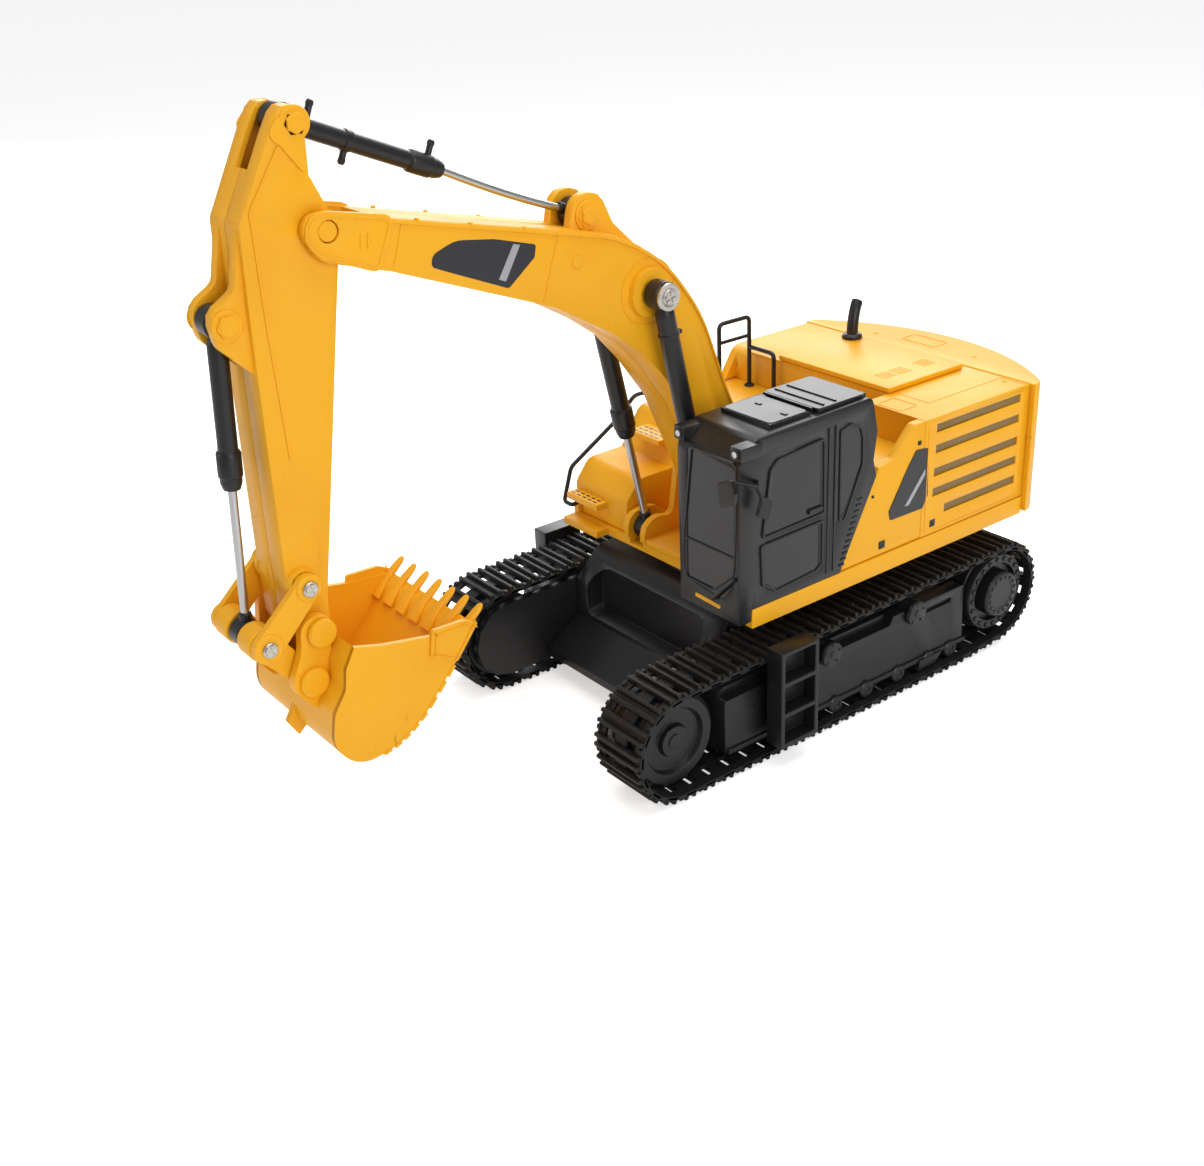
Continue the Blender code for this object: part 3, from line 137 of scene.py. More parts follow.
def math_node(tree, operation, first, second=None, clamp=False):
    """The output of a maths node fed by numbers or sockets."""
    node = tree.nodes.new("ShaderNodeMath")
    node.operation = operation
    node.use_clamp = clamp
    for slot, value in zip(node.inputs, (first, second)):
        if isinstance(value, (int, float)):
            slot.default_value = value
        elif value is not None:
            tree.links.new(value, slot)
    return node.outputs[0]


def noise_node(tree, scale, detail, stretch=(1.0, 1.0, 1.0)):
    """Noise over the piece's own coordinates, stretched along them where asked."""
    place = tree.nodes.new("ShaderNodeTexCoord")
    mapping = tree.nodes.new("ShaderNodeMapping")
    mapping.inputs["Scale"].default_value = stretch
    tree.links.new(place.outputs["Object"], mapping.inputs["Vector"])
    noise = tree.nodes.new("ShaderNodeTexNoise")
    noise.inputs["Scale"].default_value = scale
    noise.inputs["Detail"].default_value = detail
    tree.links.new(mapping.outputs["Vector"], noise.inputs["Vector"])
    return noise.outputs["Fac"]


def ramp_node(tree, factor, low, high):
    """0 below low, 1 above high, smooth between."""
    ramp = tree.nodes.new("ShaderNodeMapRange")
    ramp.interpolation_type = "SMOOTHSTEP"
    ramp.inputs["From Min"].default_value = low
    ramp.inputs["From Max"].default_value = high
    tree.links.new(factor, ramp.inputs["Value"])
    return ramp.outputs["Result"]


def mix_color(tree, factor, first, second):
    """The blend of two colours by a factor."""
    mix = tree.nodes.new("ShaderNodeMix")
    mix.data_type = "RGBA"
    tree.links.new(factor, mix.inputs["Factor"])
    for slot, value in ((mix.inputs["A"], first), (mix.inputs["B"], second)):
        if isinstance(value, tuple):
            slot.default_value = value
        else:
            tree.links.new(value, slot)
    return mix.outputs["Result"]


def make_moulded_group():
    """Moulded plastic: slow shade drift, fine spark-eroded grain and a sheen that varies a little."""
    tree, given, out = new_group(
        "moulded_plastic",
        (("Colour", "Color", (0.5, 0.5, 0.5, 1)), ("Deep Colour", "Color", (0.3, 0.3, 0.3, 1)),
         ("Roughness", "Float", 0.4), ("Roughness Drift", "Float", 0.1), ("Grain", "Float", 0.5)),
        (("Colour", "Color"), ("Roughness", "Float"), ("Height", "Float")))
    drift = ramp_node(tree, noise_node(tree, 26.0, 3.0), 0.35, 0.75)
    share = math_node(tree, "MULTIPLY", drift, 0.35)
    tree.links.new(mix_color(tree, share, given.outputs["Colour"], given.outputs["Deep Colour"]),
                   out.inputs["Colour"])
    smear = noise_node(tree, 60.0, 4.0, (1.0, 1.0, 2.5))
    centred = math_node(tree, "SUBTRACT", smear, 0.5)
    spread = math_node(tree, "MULTIPLY", centred, given.outputs["Roughness Drift"])
    tree.links.new(math_node(tree, "ADD", given.outputs["Roughness"], spread, True), out.inputs["Roughness"])
    grain = noise_node(tree, 2600.0, 2.0)
    waves = noise_node(tree, 120.0, 2.0)
    height = math_node(tree, "ADD", math_node(tree, "MULTIPLY", grain, given.outputs["Grain"]),
                       math_node(tree, "MULTIPLY", waves, 1.2))
    tree.links.new(height, out.inputs["Height"])
    return tree


def make_scuff_group():
    """Small rubbed streaks and specks, as a mask."""
    tree, given, out = new_group(
        "scuffs", (("Amount", "Float", 0.5),), (("Mask", "Float"),))
    streaks = ramp_node(tree, noise_node(tree, 190.0, 6.0, (1.0, 2.2, 0.7)), 0.66, 0.74)
    patches = ramp_node(tree, noise_node(tree, 22.0, 2.0), 0.52, 0.68)
    rubbed = math_node(tree, "MULTIPLY", streaks, patches)
    tree.links.new(math_node(tree, "MULTIPLY", rubbed, given.outputs["Amount"], True), out.inputs["Mask"])
    return tree


def make_dust_group():
    """Pale dust that lies on faces turned upwards, as a mask."""
    tree, given, out = new_group(
        "settled_dust", (("Amount", "Float", 0.3),), (("Mask", "Float"),))
    place = tree.nodes.new("ShaderNodeNewGeometry")
    split = tree.nodes.new("ShaderNodeSeparateXYZ")
    tree.links.new(place.outputs["Normal"], split.inputs["Vector"])
    up = ramp_node(tree, split.outputs["Z"], 0.35, 0.95)
    speckle = ramp_node(tree, noise_node(tree, 420.0, 5.0), 0.48, 0.72)
    lying = math_node(tree, "MULTIPLY", up, speckle)
    tree.links.new(math_node(tree, "MULTIPLY", lying, given.outputs["Amount"], True), out.inputs["Mask"])
    return tree


MOULDED = make_moulded_group()
SCUFFS = make_scuff_group()
DUST = make_dust_group()


def place_group(material, group, **values):
    """Puts a shared group into a material and sets its sockets."""
    node = material.node_tree.nodes.new("ShaderNodeGroup")
    node.node_tree = group
    for label, value in values.items():
        node.inputs[label.replace("_", " ")].default_value = value
    return node


def new_finish(name, color, deep, roughness, grain=0.5, drift=0.12, scuff=0.0, scuff_color=None, dust=0.0,
               dust_color=(0.62, 0.58, 0.5, 1.0), bump=0.12, metallic=0.0, coat=0.0, specular=0.5):
    """A Principled material fed by the shared plastic, scuff and dust groups."""
    material = bpy.data.materials.new(name)
    material.use_nodes = True
    tree = material.node_tree
    shader = tree.nodes["Principled BSDF"]
    shader.inputs["Metallic"].default_value = metallic
    shader.inputs["Coat Weight"].default_value = coat
    shader.inputs["Specular IOR Level"].default_value = specular
    base = place_group(material, MOULDED, Colour=(*color, 1.0), Deep_Colour=(*deep, 1.0), Roughness=roughness,
                       Roughness_Drift=drift, Grain=grain)
    tint = base.outputs["Colour"]
    rough = base.outputs["Roughness"]
    if scuff:
        marks = place_group(material, SCUFFS, Amount=scuff).outputs["Mask"]
        tint = mix_color(tree, marks, tint, scuff_color or (*deep, 1.0))
        rough = math_node(tree, "ADD", rough, math_node(tree, "MULTIPLY", marks, 0.25), True)
    if dust:
        lying = place_group(material, DUST, Amount=dust).outputs["Mask"]
        tint = mix_color(tree, lying, tint, dust_color)
        rough = math_node(tree, "ADD", rough, math_node(tree, "MULTIPLY", lying, 0.4), True)
    tree.links.new(tint, shader.inputs["Base Color"])
    tree.links.new(rough, shader.inputs["Roughness"])
    relief = tree.nodes.new("ShaderNodeBump")
    relief.inputs["Strength"].default_value = bump
    relief.inputs["Distance"].default_value = 0.0002
    tree.links.new(base.outputs["Height"], relief.inputs["Height"])
    tree.links.new(relief.outputs["Normal"], shader.inputs["Normal"])
    return material


def make_floor_finish():
    """Pale studio paper that shows a little brighter to the camera, to meet the backdrop."""
    paper = new_finish("pale_studio_paper", (0.96, 0.96, 0.96), (0.94, 0.94, 0.94), 0.9, grain=0.2, bump=0.02,
                       specular=0.1)
    tree = paper.node_tree
    seen = tree.nodes.new("ShaderNodeLightPath")
    glow = math_node(tree, "MULTIPLY", seen.outputs["Is Camera Ray"], FLOOR_GLOW)
    surface = tree.nodes["Principled BSDF"]
    surface.inputs["Emission Color"].default_value = (1.0, 1.0, 1.0, 1.0)
    tree.links.new(glow, surface.inputs["Emission Strength"])
    return paper


FINISHES = {
    "yellow_plastic": new_finish("satin_yellow_plastic", (0.88, 0.425, 0.012), (0.80, 0.335, 0.006), 0.40,
                                 grain=0.4, scuff=0.55, scuff_color=(0.42, 0.19, 0.02, 1.0), specular=0.26),
    "black_plastic": new_finish("satin_black_plastic", (0.011, 0.011, 0.012), (0.006, 0.006, 0.007), 0.34,
                                scuff=0.3, scuff_color=(0.05, 0.05, 0.05, 1.0), specular=0.42),
    "track_rubber": new_finish("matt_track_rubber", (0.0085, 0.0075, 0.007), (0.005, 0.0045, 0.004), 0.55,
                               grain=1.0, scuff=0.5, scuff_color=(0.04, 0.035, 0.03, 1.0), dust=0.12, bump=0.3,
                               dust_color=(0.05, 0.043, 0.035, 1.0), specular=0.4),
    "chromed_rod": new_finish("drawn_bright_rod", (0.52, 0.52, 0.53), (0.40, 0.40, 0.42), 0.3, grain=0.2,
                              metallic=1.0, bump=0.08),
    "steel_fastener": new_finish("plated_screw_steel", (0.55, 0.53, 0.49), (0.38, 0.36, 0.33), 0.3, grain=0.3,
                                 metallic=1.0, scuff=0.4, scuff_color=(0.2, 0.18, 0.15, 1.0)),
    "grille_mesh": new_finish("bronze_grille_mesh", (0.24, 0.155, 0.055), (0.15, 0.095, 0.03), 0.5, grain=1.2,
                              bump=0.5, specular=0.35),
    "lamp_lens": new_finish("clear_lamp_lens", (0.62, 0.64, 0.68), (0.5, 0.52, 0.56), 0.12, coat=0.6,
                            grain=0.1),
    "white_nylon": new_finish("white_nylon_gear", (0.78, 0.77, 0.72), (0.66, 0.64, 0.58), 0.45),
    "circuit_board": new_finish("green_board_lacquer", (0.02, 0.17, 0.06), (0.01, 0.10, 0.04), 0.4),
    "motor_steel": new_finish("motor_can_steel", (0.45, 0.45, 0.46), (0.32, 0.32, 0.34), 0.35, metallic=1.0),
    "battery_sleeve": new_finish("blue_battery_sleeve", (0.04, 0.09, 0.30), (0.02, 0.05, 0.2), 0.35,
                                 coat=0.2),
}
SMOKED = new_finish("glossy_cab_window", (0.013, 0.0135, 0.015), (0.009, 0.009, 0.011), 0.24, grain=0.15,
                    bump=0.05, scuff=0.2, scuff_color=(0.04, 0.04, 0.045, 1.0), specular=0.5)
GLOSS_BLACK = new_finish("glossy_black_trim", (0.005, 0.005, 0.0055), (0.003, 0.003, 0.0035), 0.22, grain=0.2,
                         bump=0.06, specular=0.4)
STICKER = new_finish("charcoal_sticker_film", (0.022, 0.022, 0.026), (0.014, 0.014, 0.017), 0.3, grain=0.1,
                     bump=0.03, specular=0.4)
STRIPE = new_finish("grey_sticker_stripe", (0.36, 0.36, 0.38), (0.28, 0.28, 0.30), 0.32, grain=0.1, bump=0.03)
SLOT_FINISH = {entry["node"]: entry["material_slot"] for entry in frame["record"]["subparts"]}


# ---------------------------------------------------------------- mesh helpers

def at(x, y, z):
    """A drawing-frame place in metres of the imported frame."""
    return Vector((x, y + SLEW_Y, z)) * MM


def arc_points(centre, radius, start, end, steps):
    """Points along an arc, both ends included."""
    angles = [start + (end - start) * step / steps for step in range(steps + 1)]
    return [(centre[0] + radius * math.cos(angle), centre[1] + radius * math.sin(angle)) for angle in angles]


def ring_points(centre, radius, steps=48):
    """Points round a full circle."""
    return arc_points(centre, radius, 0.0, math.tau * (1 - 1 / steps), steps - 1)


def rounded(*corners, step=math.radians(9)):
    """The outline through (u, v) corners, or (u, v, radius) where the corner is an arc."""
    count = len(corners)
    wanted, reaches, points = [], [], []
    for index, corner in enumerate(corners):
        here = Vector(corner[:2])
        before = Vector(corners[index - 1][:2]) - here
        after = Vector(corners[(index + 1) % count][:2]) - here
        wanted.append((corner[2] if len(corner) > 2 else 0.0) / math.tan(before.angle(after) / 2))
    for index, corner in enumerate(corners):
        reach = wanted[index]
        for other in (index - 1, (index + 1) % count):
            edge = (Vector(corners[other][:2]) - Vector(corner[:2])).length
            if reach + wanted[other] > 0.96 * edge:
                reach = min(reach, 0.96 * edge * wanted[index] / (wanted[index] + wanted[other]))
        reaches.append(reach)
    for index, corner in enumerate(corners):
        here = Vector(corner[:2])
        if len(corner) == 2:
            points.append(tuple(here))
            continue
        before = (Vector(corners[index - 1][:2]) - here).normalized()
        after = (Vector(corners[(index + 1) % count][:2]) - here).normalized()
        centre = here + (before + after).normalized() * reaches[index] / math.cos(before.angle(after) / 2)
        spoke = here + before * reaches[index] - centre
        turn = spoke.angle_signed(here + after * reaches[index] - centre)
        steps = max(2, round(abs(turn) / step))
        points += [tuple(centre + Matrix.Rotation(-turn * s / steps, 2) @ spoke) for s in range(steps + 1)]
    return points


def link(first, first_radius, second, second_radius):
    """The outline of a bar with a round end about each of two points."""
    along = Vector(second) - Vector(first)
    heading = math.atan2(along.y, along.x)
    lean = math.acos((first_radius - second_radius) / along.length)
    return (arc_points(first, first_radius, heading + lean, heading - lean + math.tau, 20)
            + arc_points(second, second_radius, heading - lean, heading + lean, 20))


def inset(points, distance):
    """An outline drawn in by a distance on every side."""
    points = [Vector(point) for point in points]
    area = sum(a.cross(b) for a, b in zip(points, points[1:] + points[:1]))
    inward = math.copysign(distance, area)
    moved = []
    for before, here, after in zip(points[-1:] + points, points, points[1:] + points[:1]):
        first = (here - before).normalized()
        second = (after - here).normalized()
        normal = Vector((-first.y - second.y, first.x + second.x)).normalized()
        moved.append(tuple(here + normal * inward / max(0.5, normal.dot(Vector((-first.y, first.x))))))
    return moved


def on_plane(axis, point, depth):
    """The place of an outline point across an axis, at a depth along it."""
    if axis == "X":
        return at(depth, *point)
    if axis == "Y":
        return at(point[0], depth, point[1])
    return at(*point, depth)


def skin(shape, loops, closed=False):
    """Joins vertex loops with quads. An open run gets a face at each end, and a closed one joins up."""
    if not closed:
        shape.faces.new(loops[0])
        shape.faces.new(loops[-1])
    following = loops[1:] + loops[:1] if closed else loops[1:]
    for first, second in zip(loops, following):
        for index in range(len(first)):
            after = (index + 1) % len(first)
            shape.faces.new((first[index], first[after], second[after], second[index]))


def add_plate(shape, axis, outline, low, high, inner_outline=None):
    """Adds a flat plate. A second outline of the same count makes its high face smaller or larger."""
    top = inner_outline or outline
    lows = [shape.verts.new(on_plane(axis, point, low)) for point in outline]
    highs = [shape.verts.new(on_plane(axis, point, high)) for point in top]
    skin(shape, [lows, highs])


def add_frame(shape, axis, outline, width, low, high):
    """Adds a raised rim that follows an outline."""
    loops = []
    inner = inset(outline, width)
    for points, depth in ((outline, low), (outline, high), (inner, high), (inner, low)):
        loops.append([shape.verts.new(on_plane(axis, point, depth)) for point in points])
    skin(shape, loops, closed=True)


def add_block(shape, low, high):
    """Adds a box between two opposite corners."""
    low, high = at(*low), at(*high)
    matrix = Matrix.Translation((low + high) / 2) @ Matrix.Diagonal((*(high - low), 1.0))
    bmesh.ops.create_cube(shape, size=1.0, matrix=matrix)


def add_turned(shape, base, tip, profile, steps=48):
    """Adds a turned solid on the line from base to tip, from (distance, radius) pairs in mm."""
    base, tip = at(*base), at(*tip)
    turn = Vector((0, 0, 1)).rotation_difference(tip - base).to_matrix()
    rings = []
    for distance, radius in profile:
        ring = []
        for step in range(steps):
            angle = math.tau * step / steps
            spoke = Vector((radius * math.cos(angle), radius * math.sin(angle), distance)) * MM
            ring.append(shape.verts.new(base + turn @ spoke))
        rings.append(ring)
    skin(shape, rings)


def add_bar(shape, start, end, radius, steps=32, chamfer=0.3):
    """Adds a round bar with chamfered ends."""
    length = (Vector(end) - Vector(start)).length
    edge = min(chamfer, radius * 0.4, length * 0.4)
    add_turned(shape, start, end, ((0.0, radius - edge), (edge, radius), (length - edge, radius),
                                   (length, radius - edge)), steps)


def add_wire(shape, points, radius, steps=12):
    """Adds a bent round wire through 3-D places, with its frame carried along so that it doesn't twist."""
    places = [at(*point) for point in points]
    side = None
    rings = []
    for index, place in enumerate(places):
        before = places[max(0, index - 1)]
        after = places[min(len(places) - 1, index + 1)]
        heading = (after - before).normalized()
        side = heading.orthogonal() if side is None else side - heading * side.dot(heading)
        side.normalize()
        other = heading.cross(side)
        ring = []
        for step in range(steps):
            angle = math.tau * step / steps
            spoke = side * math.cos(angle) + other * math.sin(angle)
            ring.append(shape.verts.new(place + spoke * radius * MM))
        rings.append(ring)
    skin(shape, rings)


def bent(points, radius, steps=6):
    """The route through 3-D points with each inner corner rounded."""
    points = [Vector(point) for point in points]
    route = [points[0]]
    for before, here, after in zip(points, points[1:], points[2:]):
        start = here + (before - here).normalized() * radius
        end = here + (after - here).normalized() * radius
        for step in range(steps + 1):
            share = step / steps
            route.append(start.lerp(here, share).lerp(here.lerp(end, share), share))
    return route + [points[-1]]


def soften(thing, width, angle=33.0, segments=2):
    """Rounds the sharp edges and shades the rest smooth."""
    bevel = thing.modifiers.new("Rounded edges", "BEVEL")
    bevel.width = width * MM
    bevel.segments = segments
    bevel.limit_method = "ANGLE"
    bevel.angle_limit = math.radians(angle)
    bevel.harden_normals = True
    bevel.miter_outer = "MITER_ARC"
    thing.data.shade_smooth()
    thing.data.set_sharp_from_angle(angle=math.radians(angle + 8))


def make_piece(name, shape, body, slot, material=None, edge=0.2, stands_for=()):
    """Turns a bmesh into a finished piece on a body."""
    bmesh.ops.recalc_face_normals(shape, faces=shape.faces)
    mesh = bpy.data.meshes.new(name)
    shape.to_mesh(mesh)
    shape.free()
    thing = bpy.data.objects.new(name, mesh)
    bpy.context.scene.collection.objects.link(thing)
    mesh.materials.append(material or FINISHES[slot])
    if edge:
        soften(thing, edge)
    else:
        mesh.shade_smooth()
        mesh.set_sharp_from_angle(angle=math.radians(35))
    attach(thing, body)
    if stands_for:
        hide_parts(*stands_for)
    return thing


def x_span(side, inner, outer):
    """A low and a high x on one side of the machine, from distances off the middle."""
    return (inner, outer) if side > 0 else (-outer, -inner)


def dress_frame_nodes():
    """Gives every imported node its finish, welded faces and rounded edges."""
    for name, node in NODES.items():
        node.data.materials.clear()
        node.data.materials.append(FINISHES[SLOT_FINISH[name]])
        weld = node.modifiers.new("Weld", "WELD")
        weld.merge_threshold = 0.00001
        flatten = node.modifiers.new("Flat faces", "DECIMATE")
        flatten.decimate_type = "DISSOLVE"
        flatten.angle_limit = math.radians(0.6)
        soften(node, 0.35, angle=36.0)


# ---------------------------------------------------------------- undercarriage

def belt_place(distance, radius):
    """The (y, z) and outward direction at a distance along the belt's shoe line."""
    centres = [Vector(IDLER), Vector(REAR_ROLLER), Vector(SPROCKET)]
    headings = []
    for index, centre in enumerate(centres):
        along = centres[(index + 1) % 3] - centre
        headings.append(math.atan2(along.y, along.x))
    for index, centre in enumerate(centres):
        turn = (headings[index] - headings[index - 1]) % math.tau
        after = centres[(index + 1) % 3]
        start = headings[index - 1] - math.pi / 2
        stretches = ((SHOE_RADIUS * turn, None, None), ((after - centre).length, start + turn, after))
        for reach, angle, hub_end in stretches:
            if distance <= reach:
                share = distance / reach
                angle = start + turn * share if angle is None else angle
                hub = centre if hub_end is None else centre.lerp(hub_end, share)
                outward = Vector((math.cos(angle), math.sin(angle)))
                return hub + outward * radius, outward
            distance -= reach
    return belt_place(distance, radius)


def belt_length():
    """The length of the shoe line round its three wheels."""
    centres = [Vector(IDLER), Vector(REAR_ROLLER), Vector(SPROCKET)]
    return math.tau * SHOE_RADIUS + sum((centres[index - 1] - centres[index]).length for index in range(3))


def add_shoe_bar(shape, distance, half_width, low_radius, high_radius, x_low, x_high, taper=0.7):
    """Adds one block across the belt, narrower at its outer face."""
    corners = []
    for radius, half in ((low_radius, half_width), (high_radius, half_width * taper)):
        for offset in (-half, half):
            place, _ = belt_place((distance + offset) % belt_length(), radius)
            corners.append(place)
    loops = []
    for x in (x_low, x_high):
        loops.append([shape.verts.new(at(x, *corners[index])) for index in (0, 1, 3, 2)])
    skin(shape, loops)


def add_belt_band(shape, x_low, x_high, inner, outer):
    """Adds one endless band of the belt between two widths."""
    steps = CLEAT_COUNT * 4
    length = belt_length()
    loops = []
    for x, radius in ((x_low, inner), (x_low, outer), (x_high, outer), (x_high, inner)):
        places = [belt_place(length * step / steps, radius)[0] for step in range(steps)]
        loops.append([shape.verts.new(at(x, *place)) for place in places])
    skin(shape, loops, closed=True)


def build_belt(word, side):
    """Rubber belt: three endless bands, and a bar, two cleats and two edge lugs for each shoe."""
    shape = bmesh.new()
    centre = side * TRACK_X
    for low, high in ((-12.4, -8.2), (-3.0, 3.0), (8.2, 12.4)):
        add_belt_band(shape, centre + low, centre + high, BELT_INNER_RADIUS, BELT_OUTER_RADIUS)
    pitch = belt_length() / CLEAT_COUNT
    for shoe in range(CLEAT_COUNT):
        middle = (shoe + 0.38) * pitch
        add_shoe_bar(shape, middle, pitch * 0.30, BELT_INNER_RADIUS + 0.05, BELT_OUTER_RADIUS + 0.35,
                     centre - SHOE_HALF, centre + SHOE_HALF, 0.92)
        for offset in (-0.2, 0.2):
            add_shoe_bar(shape, middle + offset * pitch, pitch * 0.115, BELT_OUTER_RADIUS, CLEAT_RADIUS,
                         centre - SHOE_HALF + 0.4, centre + SHOE_HALF - 0.4, 0.62)
        for edge in (-1, 1):
            span = sorted((centre + edge * SHOE_HALF, centre + edge * (SHOE_HALF - 1.9)))
            add_shoe_bar(shape, middle + 0.5 * pitch, pitch * 0.13, BELT_OUTER_RADIUS - 0.2,
                         BELT_OUTER_RADIUS + 0.8, *span)
    make_piece(f"belt_{word}", shape, "undercarriage", "track_rubber", edge=0.3,
               stands_for=[f"track_belt_{word}"])


def build_wheels(word, side):
    """The toothed drive wheel with its bolt ring, the bolted cap and the front wheel."""
    start = (side * 46.2, *SPROCKET)
    end = (side * 70.0, *SPROCKET)
    wheel = bmesh.new()
    add_turned(wheel, start, end, (
        (0.0, 17.1), (13.2, 17.1), (13.8, 16.6), (16.6, 16.6), (17.4, 16.1), (17.4, 12.6), (14.8, 12.0),
        (14.6, 3.0)), 64)
    for tooth in range(13):
        angle = tooth * math.tau / 13
        place = (SPROCKET[0] + 17.2 * math.cos(angle), SPROCKET[1] + 17.2 * math.sin(angle))
        add_bar(wheel, (side * 48.0, *place), (side * 52.0, *place), 1.1, 10)
    for bolt in range(20):
        angle = bolt * math.tau / 20
        place = (SPROCKET[0] + 14.4 * math.cos(angle), SPROCKET[1] + 14.4 * math.sin(angle))
        add_bar(wheel, (side * 62.8, *place), (side * 64.3, *place), 1.05, 12, 0.35)
    make_piece(f"bolted_drive_wheel_{word}", wheel, f"sprocket_{word}", "black_plastic",
               stands_for=[f"drive_sprocket_{word}"])
    cap = bmesh.new()
    add_turned(cap, (side * 61.1, *SPROCKET), end, ((0.0, 9.8), (5.2, 9.8), (6.0, 9.2), (6.3, 8.2), (6.3, 6.1),
                                                    (6.0, 5.9)), 56)
    for bolt in range(16):
        angle = (bolt + 0.5) * math.tau / 16
        place = (SPROCKET[0] + 7.6 * math.cos(angle), SPROCKET[1] + 7.6 * math.sin(angle))
        add_bar(cap, (side * 67.2, *place), (side * 67.8, *place), 0.75, 12, 0.2)
    make_piece(f"bolted_drive_cap_{word}", cap, f"sprocket_{word}", "black_plastic",
               stands_for=[f"final_drive_cap_{word}"])
    front = bmesh.new()
    add_turned(front, (side * 46.2, *IDLER), (side * 61.0, *IDLER), (
        (0.0, 16.6), (1.6, 18.25), (13.2, 18.25), (14.8, 16.6), (14.8, 13.0), (12.8, 12.0), (12.8, 6.4),
        (14.8, 5.8), (14.8, 3.4)), 64)
    make_piece(f"front_wheel_{word}", front, f"idler_{word}", "black_plastic",
               stands_for=[f"idler_wheel_{word}"])


def build_roller_ends(word, side):
    """Cast ends on the carrier rollers and the lower rollers of a track frame."""
    shape = bmesh.new()
    for centre in ((37.0, 32.0), (-9.8, 31.0)):
        add_turned(shape, (side * 62.4, *centre), (side * 70, *centre), (
            (0.0, 5.1), (2.0, 5.1), (2.6, 4.6), (2.6, 3.4), (2.0, 3.0), (2.0, 1.6), (3.0, 1.4), (3.2, 0.9)), 36)
        for bolt in range(5):
            angle = bolt * math.tau / 5 + 0.3
            place = (centre[0] + 3.9 * math.cos(angle), centre[1] + 3.9 * math.sin(angle))
            add_bar(shape, (side * 64.8, *place), (side * 65.5, *place), 0.6, 6, 0.1)
    for y in (-30.0, -6.0, 11.0, 29.0, 47.0, 60.0):
        add_turned(shape, (side * 61.0, y, 7.3), (side * 66, y, 7.3), (
            (0.0, 3.6), (2.6, 3.6), (3.1, 3.1), (3.1, 1.8), (2.7, 1.6)), 28)
    make_piece(f"roller_ends_{word}", shape, "undercarriage", "black_plastic")


# ---------------------------------------------------------------- fasteners and rams

def add_cross_screw(shape, place, side, radius):
    """Adds a domed screw head whose top is cut by a cross: four raised quarters stand round the slot."""
    x, y, z = place
    add_turned(shape, (x, y, z), (x + side * 3, y, z), ((0.0, radius), (0.3, radius), (0.62, radius * 0.9),
                                                         (0.62, radius * 0.3)), 40)
    slot_half = radius * 0.15
    for quarter in range(4):
        start = quarter * math.pi / 2 + 0.3
        corner = Vector((math.cos(start + math.pi / 4), math.sin(start + math.pi / 4))) * slot_half * 1.414
        rim = arc_points((0.0, 0.0), radius * 0.8, start + 0.2, start + math.pi / 2 - 0.2, 8)
        outline = [(y + u, z + v) for u, v in [tuple(corner)] + rim]
        inner = [(y + u * 0.94, z + v * 0.94) for u, v in [tuple(corner * 1.1)] + rim]
        add_plate(shape, "X", outline, x + side * 0.4, x + side * 1.15, inner)


def point_on(first, second, distance):
    """The point at a distance from the first towards the second."""
    first, second = Vector(first), Vector(second)
    return tuple(first + (second - first).normalized() * distance)


